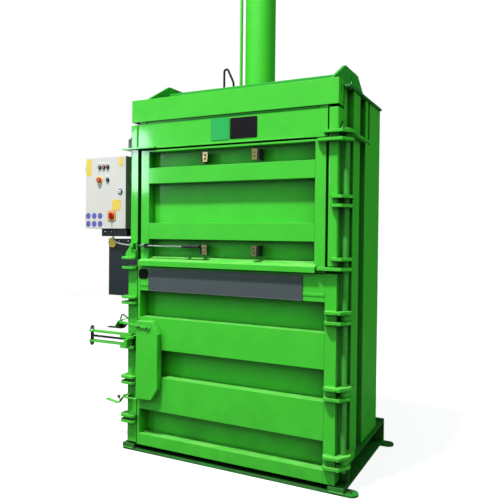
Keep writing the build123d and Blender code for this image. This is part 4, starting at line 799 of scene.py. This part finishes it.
# %% Dress the feed post and the header
post_foot = bmesh.new()
foot_outline = [
    (-0.724, -0.430), (-0.724, -0.452), (-0.742, -0.470), (-0.821, -0.470), (-0.838, -0.460),
    (-0.846, -0.445), (-0.846, -0.380), (-0.771, -0.380), (-0.771, -0.431)]
outline_plate(post_foot, [(x, y, 1.3785) for x, y in foot_outline], (0, 0, 0.018), 0.003)
flare = [
    (-0.771, 1.492), (-0.7785, 1.474), (-0.8265, 1.413), (-0.829, 1.3955), (-0.771, 1.3955)]
outline_plate(post_foot, [(x, -0.428, z) for x, z in flare], (0, 0.046, 0), 0.002)
skirt = [
    (-0.727, 1.444), (-0.771, 1.478), (-0.814, 1.425), (-0.817, 1.3955), (-0.727, 1.3955)]
outline_plate(post_foot, [(x, -0.431, z) for x, z in skirt], (0, -0.012, 0), 0.002)
publish("post_foot", post_foot, "green_paint", "frame")

# Painted shade: a dark green strip set back in the gap under the fascia.
painted_gap_shade = bmesh.new()
soft_block(painted_gap_shade, (-0.690, -0.419, 2.3385), (0.690, -0.409, 2.3575), 0.002)
publish("painted_gap_shade_strip", painted_gap_shade, "dark_green_paint", "frame")

cladding = bmesh.new()
outer_x, bend_x, bend_y, bend_radius = -0.7832, -0.7732, -0.4202, 0.010
bend = []
for step in range(7):
    angle = step * math.pi / 12
    bend.append((bend_x - bend_radius * math.sin(angle), bend_y - bend_radius * math.cos(angle)))
for low_z, high_z, inner_x in (
    (1.398, 1.5003, -0.756), (1.500, 2.1648, -0.717), (2.1752, 2.336, -0.756),
):
    section = [
        (inner_x, -0.4275), (inner_x, -0.4302), *bend,
        (outer_x, -0.325), (-0.7695, -0.325), (-0.7695, -0.4275)]
    outline_plate(
        cladding, [(x, y, low_z) for x, y in section], (0, 0, high_z - low_z), 0.0005)
publish("post_cladding", cladding, "green_paint", "frame")

bar_bolts = bmesh.new()
for x, z in ((-0.660, 0.910), (-0.590, 0.903)):
    seat = (x, bar_back - bar_thick, z)
    turned(bar_bolts, [(0.0085, 0.0), (0.0085, 0.0012), (0.0085, 0.0015)], seat, (0, -1, 0))
    turned(bar_bolts, [(0.0065, 0.0015), (0.0065, 0.0055), (0.0058, 0.0062)], seat, (0, -1, 0), 6)
publish("lock_bar_bolts", bar_bolts, "zinc", "bale_door")

# %% [markdown]
# ## Safety catch and switch guard
# Both are bent from flat bar with its broad side level, so from the front they
# show as thin bent lines. The catch swings on its stud beside the lock post and
# takes the place of the CAD's strip; a small knob is pushed on its upper bend.
# The guard is a bent strap over the door switch.


# %% Bend flat bars
def bent_bar(form, line, low_y, high_y, thick):
    """A flat bar bent along a line in X and Z, its broad side level."""
    upper, lower = [], []
    for index, (x, z) in enumerate(line):
        before = Vector(line[max(index - 1, 0)])
        after = Vector(line[min(index + 1, len(line) - 1)])
        along = (after - before).normalized()
        side = Vector((-along.y, along.x)) * thick / 2
        upper.append((x + side.x, high_y, z + side.y))
        lower.append((x - side.x, high_y, z - side.y))
    outline_plate(form, upper + lower[::-1], (0, low_y - high_y, 0), thick * 0.2)


catch = bmesh.new()
catch_front, catch_back = -0.470, -0.4395
stud_x, stud_z, stud_head = -0.790, 0.398, 0.006
catch_line = [
    (-0.968, 0.350), (-0.905, 0.340), (-0.868, 0.334), (-0.856, 0.336), (-0.848, 0.342),
    (-0.822, 0.376), (-0.812, 0.384), (-0.790, 0.396), (-0.764, 0.407), (-0.752, 0.409)]
bent_bar(catch, catch_line, catch_front, catch_back, 0.006)
turned(
    catch, [(0.013, 0.0), (0.013, stud_head), (0.011, 0.008)],
    (stud_x, catch_front, stud_z), (0, -1, 0))
turned(
    catch, [(0.008, 0.0), (0.008, 0.044)],
    (stud_x, catch_front - stud_head, stud_z), (0, 1, 0), 20)
catch_piece = publish("safety_catch_bar", catch, "green_paint", "safety_catch")
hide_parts("safety_catch")

knob = bmesh.new()
turned(
    knob,
    [(0.004, 0.0), (0.004, 0.020), (0.008, 0.022), (0.0115, 0.027), (0.012, 0.034),
     (0.009, 0.040), (0.004, 0.042)],
    (-0.842, -0.455, 0.352), (-0.45, 0, 0.89), 20)
publish("safety_catch_knob", knob, "rust_red", "safety_catch")

keeper = bmesh.new()
soft_block(keeper, (-0.776, -0.491, 0.385), (-0.672, bar_back, 0.396), 0.0015)
publish("catch_keeper", keeper, "green_paint", "bale_door")

guard = bmesh.new()
guard_line = [
    (-0.905, 0.880), (-0.898, 0.889), (-0.874, 0.922), (-0.864, 0.930), (-0.830, 0.941),
    (-0.790, 0.949)]
bent_bar(guard, guard_line, -0.452, -0.408, 0.005)
publish("switch_guard", guard, "green_paint", "frame")

# %% [markdown]
# ## Plates on the header
# Two plain plates mark where a builder's sign would be riveted on: a green one
# and a dark one. They stay blank, with rounded corners and small rivet heads.


# %% Plain plates with rivets
def blank_plate(name, low_x, high_x, low_z, high_z, face_y, thick, finish, body, rivet=0.0):
    """A thin plate with rounded corners on a face that looks to the front."""
    inset = 0.012
    form = bmesh.new()
    points = rounded_outline(low_x, high_x, low_z, high_z, face_y, 0.008)
    outline_plate(form, points, (0, -thick, 0), min(0.0008, thick * 0.3))
    if rivet:
        profile = [(rivet, 0.0), (rivet * 0.92, rivet * 0.35), (rivet * 0.5, rivet * 0.6)]
        for x in (low_x + inset, high_x - inset):
            for z in (low_z + inset, high_z - inset):
                turned(form, profile, (x, face_y - thick, z), (0, -1, 0), 16)
    publish(name, form, finish, body)


header_y = -0.427
for name, low_x, high_x, low_z, high_z, finish in (
    ("header_plate_green", -0.118, 0.020, 2.188, 2.334, "plate_enamel"),
    ("header_plate_dark", 0.027, 0.225, 2.192, 2.328, "matt_black"),
):
    blank_plate(name, low_x, high_x, low_z, high_z, header_y, 0.003, finish, "frame", 0.003)

# %% [markdown]
# ## Control panel
# The cabinet door carries plain coloured plates and discs where a real panel
# has its labels; they stay blank. The main switch turns with its red disc on a
# square plate, and the emergency stop sits on a yellow disc, as such controls
# are sold. Each push button has a small white plate above it.

# %% Panel plates and discs
panel_y = -0.3505
sticker, switch_plate = 0.0012, 0.0040
for name, low_x, high_x, low_z, high_z, thick, finish in (
    ("panel_plate_upper_left", -1.272, -1.221, 2.002, 2.128, sticker, "yellow_plastic"),
    ("panel_plate_upper_right", -0.957, -0.919, 2.066, 2.132, sticker, "yellow_plastic"),
    ("panel_plate_switch", -1.020, -0.937, 1.737, 1.816, sticker, "yellow_plastic"),
    ("main_switch_plate", -1.059, -0.983, 1.657, 1.733, switch_plate, "orange_plastic"),
):
    blank_plate(name, low_x, high_x, low_z, high_z, panel_y, thick, finish, "control_door")


def panel_disc(form, profile, x, z, rise=0.0, steps=40):
    """A round plate on the panel."""
    turned(form, profile, (x, panel_y - rise, z), (0, -1, 0), steps)


switch_disc = bmesh.new()
panel_disc(
    switch_disc, [(0.0265, 0.0), (0.0265, 0.006), (0.0245, 0.009), (0.018, 0.010)],
    -1.021, 1.695, switch_plate + 0.0002)
publish("main_switch_disc", switch_disc, "red_plastic", "main_switch")
stop_disc = bmesh.new()
panel_disc(
    stop_disc, [(0.030, 0.0), (0.030, 0.0015), (0.029, 0.0024), (0.021, 0.0026)],
    -1.140, 1.966)
publish("e_stop_disc", stop_disc, "yellow_plastic", "control_door")
blue_discs = bmesh.new()
for x in (-1.2515, -1.1925, -1.1345):
    for z in (1.695, 1.634):
        panel_disc(blue_discs, [(0.0225, 0.0), (0.0225, 0.0008), (0.0218, 0.0012)], x, z, 0.0, 32)
publish("panel_discs", blue_discs, "blue_plastic", "control_door")
escutcheon = bmesh.new()
panel_disc(
    escutcheon, [(0.022, 0.0), (0.022, 0.0014), (0.0205, 0.0024), (0.013, 0.0026)],
    -0.942, 1.873, 0.0, 36)
publish("lock_escutcheon", escutcheon, "slate_plastic", "control_door")
legends = bmesh.new()
for x, z in ((-1.140, 2.092), (-1.1015, 2.092), (-1.063, 2.092), (-1.063, 1.994)):
    soft_block(
        legends, (x - 0.013, panel_y - 0.0014, z - 0.006), (x + 0.013, panel_y, z + 0.006), 0.0005)
publish("button_plates", legends, "white_plastic", "control_door")

# %% [markdown]
# ## Duct screws, bolts and grease points
# Pan-head screws close the duct under the box, the arms of the closing handle
# turn on hexagon bolts, and every hinge ear has a grease nipple on its outside.


# %% Screws, bolts and nipples
def hex_head(form, place, axis, across, height):
    """A hexagon head with its chamfer, on a washer."""
    radius = across / math.sqrt(3)
    seat = height * 0.22
    washer = [(radius * 1.25, 0.0), (radius * 1.25, seat * 0.7), (radius * 1.18, seat)]
    head = [(radius, seat), (radius, seat + height * 0.85), (radius * 0.88, seat + height)]
    turned(form, washer, place, axis)
    turned(form, head, place, axis, 6)


duct_screws = bmesh.new()
for x in (-1.111, -1.052, -0.985, -0.924):
    turned(
        duct_screws, [(0.0075, 0.0), (0.0073, 0.0016), (0.0055, 0.0034), (0.002, 0.0042)],
        (x, -0.318, 1.576), (0, -1, 0), 20)
publish("duct_screws", duct_screws, "zinc", "frame")

nuts = bmesh.new()
for z, way in ((0.844, 1), (0.759, -1)):
    nut_place = (-1.111, -0.455, z)
    hex_head(nuts, nut_place, (0, 0, way), 0.026, 0.018)
    turned(
        nuts, [(0.0128, 0.017), (0.011, 0.024), (0.006, 0.029), (0.002, 0.0305)],
        nut_place, (0, 0, way))
publish("handle_nuts", nuts, "zinc", "closing_handle")

nipples = bmesh.new()
nipple_profile = [
    (0.0045, -0.001), (0.0045, 0.003), (0.0028, 0.004), (0.0028, 0.007), (0.0034, 0.008),
    (0.0034, 0.0095), (0.0015, 0.011)]
for level in ear_levels:
    for z in (level - 0.031, level + 0.031):
        turned(nipples, nipple_profile, (0.778, -0.468, z), (0, -1, 0), 10)
publish("ear_nipples", nipples, "green_paint", "bale_door")

# %% [markdown]
# ## Fittings on the frame, the cylinder and the tank
# A collar keeps the hinge bar down, with a gusset beside it. A limit switch
# stands on the ledge at the left. The oil line screws into a boss near the
# cylinder's top. The tank has screws round its lid, a drain plug, and a level
# gauge on its outer side.

# %% Collar, boss, limit switch and tank fittings
collar = bmesh.new()
turned(
    collar,
    [(0.021, 0.0), (0.029, 0.0), (0.030, 0.001), (0.030, 0.010), (0.0285, 0.0115),
     (0.021, 0.0115)],
    (hinge_x, hinge_y, 2.2005), (0, 0, 1), 40)
publish("hinge_collar", collar, "hinge_paint", "frame")

gusset = bmesh.new()
gusset_outline = [(-0.412, 2.201), (-0.352, 2.201), (-0.352, 2.262), (-0.372, 2.262)]
outline_plate(gusset, [(0.771, y, z) for y, z in gusset_outline], (0.014, 0, 0), 0.0015)
publish("post_gusset", gusset, "hinge_paint", "frame")

limit_switch = bmesh.new()
soft_block(limit_switch, (-0.825, -0.408, 2.176), (-0.794, -0.378, 2.246), 0.003, 3)
turned(
    limit_switch, [(0.006, 0.0), (0.006, 0.010), (0.004, 0.012)],
    (-0.8095, -0.393, 2.246), (0, 0, 1), 20)
publish("limit_switch", limit_switch, "black_plastic", "frame")

boss = bmesh.new()
boss_way = Vector((-0.128, -0.058, 0)).normalized()
boss_foot = Vector((0, 0.075, 3.390)) + boss_way * 0.104
turned(boss, [(0.021, 0.0), (0.021, 0.018), (0.0185, 0.020)], boss_foot, boss_way, 32)
turned(boss, [(0.0165, 0.019), (0.0165, 0.030), (0.0145, 0.032)], boss_foot, boss_way, 6)
publish("oil_port_boss", boss, "green_paint", "frame")

tank_low, tank_high = extent("tank_shell")
screw_z, screw_across, screw_height = tank_high.z - 0.012, 0.010, 0.005
tank_bits = bmesh.new()
for share in (0.06, 0.35, 0.65, 0.94):
    x = tank_low.x + share * (tank_high.x - tank_low.x)
    for y, way in ((tank_low.y, -1), (tank_high.y, 1)):
        hex_head(tank_bits, (x, y, screw_z), (0, way, 0), screw_across, screw_height)
for share in (0.1, 0.3, 0.5, 0.7, 0.9):
    y = tank_low.y + share * (tank_high.y - tank_low.y)
    hex_head(tank_bits, (tank_low.x, y, screw_z), (-1, 0, 0), screw_across, screw_height)
drain_place = (tank_high.x - 0.045, tank_low.y, tank_low.z + 0.035)
hex_head(tank_bits, drain_place, (0, -1, 0), 0.022, 0.012)
publish("tank_screws", tank_bits, "zinc", "frame")

gauge_x = tank_low.x - 0.009
gauge = bmesh.new()
soft_block(gauge, (gauge_x, -0.118, 1.235), (tank_low.x, -0.088, 1.400), 0.004, 3)
publish("level_gauge", gauge, "black_plastic", "frame")
gauge_glass = bmesh.new()
soft_block(
    gauge_glass, (tank_low.x - 0.0112, -0.109, 1.262), (tank_low.x - 0.008, -0.097, 1.373), 0.0012)
publish("level_glass", gauge_glass, "oil_glass", "frame")
gauge_bolts = bmesh.new()
for z in (1.248, 1.387):
    hex_head(gauge_bolts, (gauge_x, -0.103, z), (-1, 0, 0), 0.013, 0.006)
publish("gauge_bolts", gauge_bolts, "zinc", "frame")

# %% [markdown]
# ## Floor, background and light
# The photograph shows the machine on plain white. The floor is a pale sheet
# that takes a soft shadow, and what the camera sees past it is white. Glossy
# paint mirrors a darker floor and sky, so its faces keep their colour. A small
# lamp high in front throws the door rails' shadows onto the sheets behind them.
# A broad panel in front, one at the front right and one at the rear right fill
# the shadows without a mirror image, and a tall narrow window at the front left
# shows as the pale shine on the left posts.

# %% Floor and white surroundings
floor_reach = 9
floor_mesh = bpy.data.meshes.new("floor")
floor_mesh.from_pydata(
    [(-floor_reach, -floor_reach, 0), (floor_reach, -floor_reach, 0),
     (floor_reach, floor_reach, 0), (-floor_reach, floor_reach, 0)], [], [(0, 1, 2, 3)])
floor = bpy.data.objects.new("floor", floor_mesh)
scene.collection.objects.link(floor)
floor_material, floor_tree, floor_shader = new_material("pale floor")
floor_shader.inputs["Roughness"].default_value = 0.9
floor_shader.inputs["Specular IOR Level"].default_value = 0.1
floor_path = add(floor_tree, "ShaderNodeLightPath")
floor_tone = blend(
    floor_tree, floor_path.outputs["Is Glossy Ray"], (0.32, 0.32, 0.32, 1), (0.05, 0.06, 0.05, 1))
floor_tree.links.new(floor_tone, floor_shader.inputs["Base Color"])
floor_shader.inputs["Emission Color"].default_value = (1, 1, 1, 1)
floor_seen = product(floor_tree, floor_path.outputs["Is Camera Ray"], 0.86)
floor_tree.links.new(floor_seen, floor_shader.inputs["Emission Strength"])
floor.data.materials.append(floor_material)

world = bpy.data.worlds.new("surroundings")
scene.world = world
world.use_nodes = True
sky = world.node_tree
sky.nodes.clear()
sky_path = add(sky, "ShaderNodeLightPath")
sky_white, sky_fill, sky_dim = [
    add(sky, "ShaderNodeBackground", {"Color": tint, "Strength": strength}).outputs[0]
    for tint, strength in (
        ((1, 1, 1, 1), 1.0), ((0.72, 1, 0.78, 1), 0.15), ((0.80, 1, 0.85, 1), 0.03))]
sky_soft = add(sky, "ShaderNodeMixShader", {
    "Fac": sky_path.outputs["Is Glossy Ray"], 1: sky_fill, 2: sky_dim})
sky_mix = add(sky, "ShaderNodeMixShader", {
    "Fac": sky_path.outputs["Is Camera Ray"], 1: sky_soft.outputs[0], 2: sky_white})
add(sky, "ShaderNodeOutputWorld", {"Surface": sky_mix.outputs[0]})


def panel_lamp(name, place, target, size, power, tint=(1, 1, 1), mirrored=True):
    """A soft lamp of some width and height that looks at a point; glossy paint may mirror it."""
    data = bpy.data.lights.new(name, "AREA")
    data.shape = "RECTANGLE"
    data.size, data.size_y = size
    data.energy = power
    data.color = tint
    lamp = bpy.data.objects.new(name, data)
    lamp.visible_glossy = mirrored
    lamp.location = place
    lamp.rotation_euler = (Vector(target) - Vector(place)).to_track_quat("-Z", "Y").to_euler()
    scene.collection.objects.link(lamp)


door_middle = (0, -0.4, 1.3)
panel_lamp(
    "ceiling lamp", (-1.2, -4.0, 10.5), door_middle, (1.1, 0.65), 1600, (1.0, 0.97, 0.95))
panel_lamp(
    "front panel", (0.9, -5.6, 2.5), door_middle, (5.0, 3.0), 36, (0.70, 1.0, 0.74),
    mirrored=False)
panel_lamp(
    "front left window", (-3.29, -3.72, 2.59), (-0.7, -0.43, 2.1), (0.34, 0.85), 34,
    (0.76, 0.92, 1.0))
panel_lamp(
    "right front panel", (5.2, -2.4, 2.4), (0.8, -0.2, 1.4), (1.6, 1.6), 46, (0.72, 1.0, 0.74),
    mirrored=False)
panel_lamp(
    "right rear panel", (3.4, 4.2, 3.0), (0.8, 0.2, 1.3), (0.8, 0.8), 60, mirrored=False)

scene.view_settings.view_transform = "Standard"
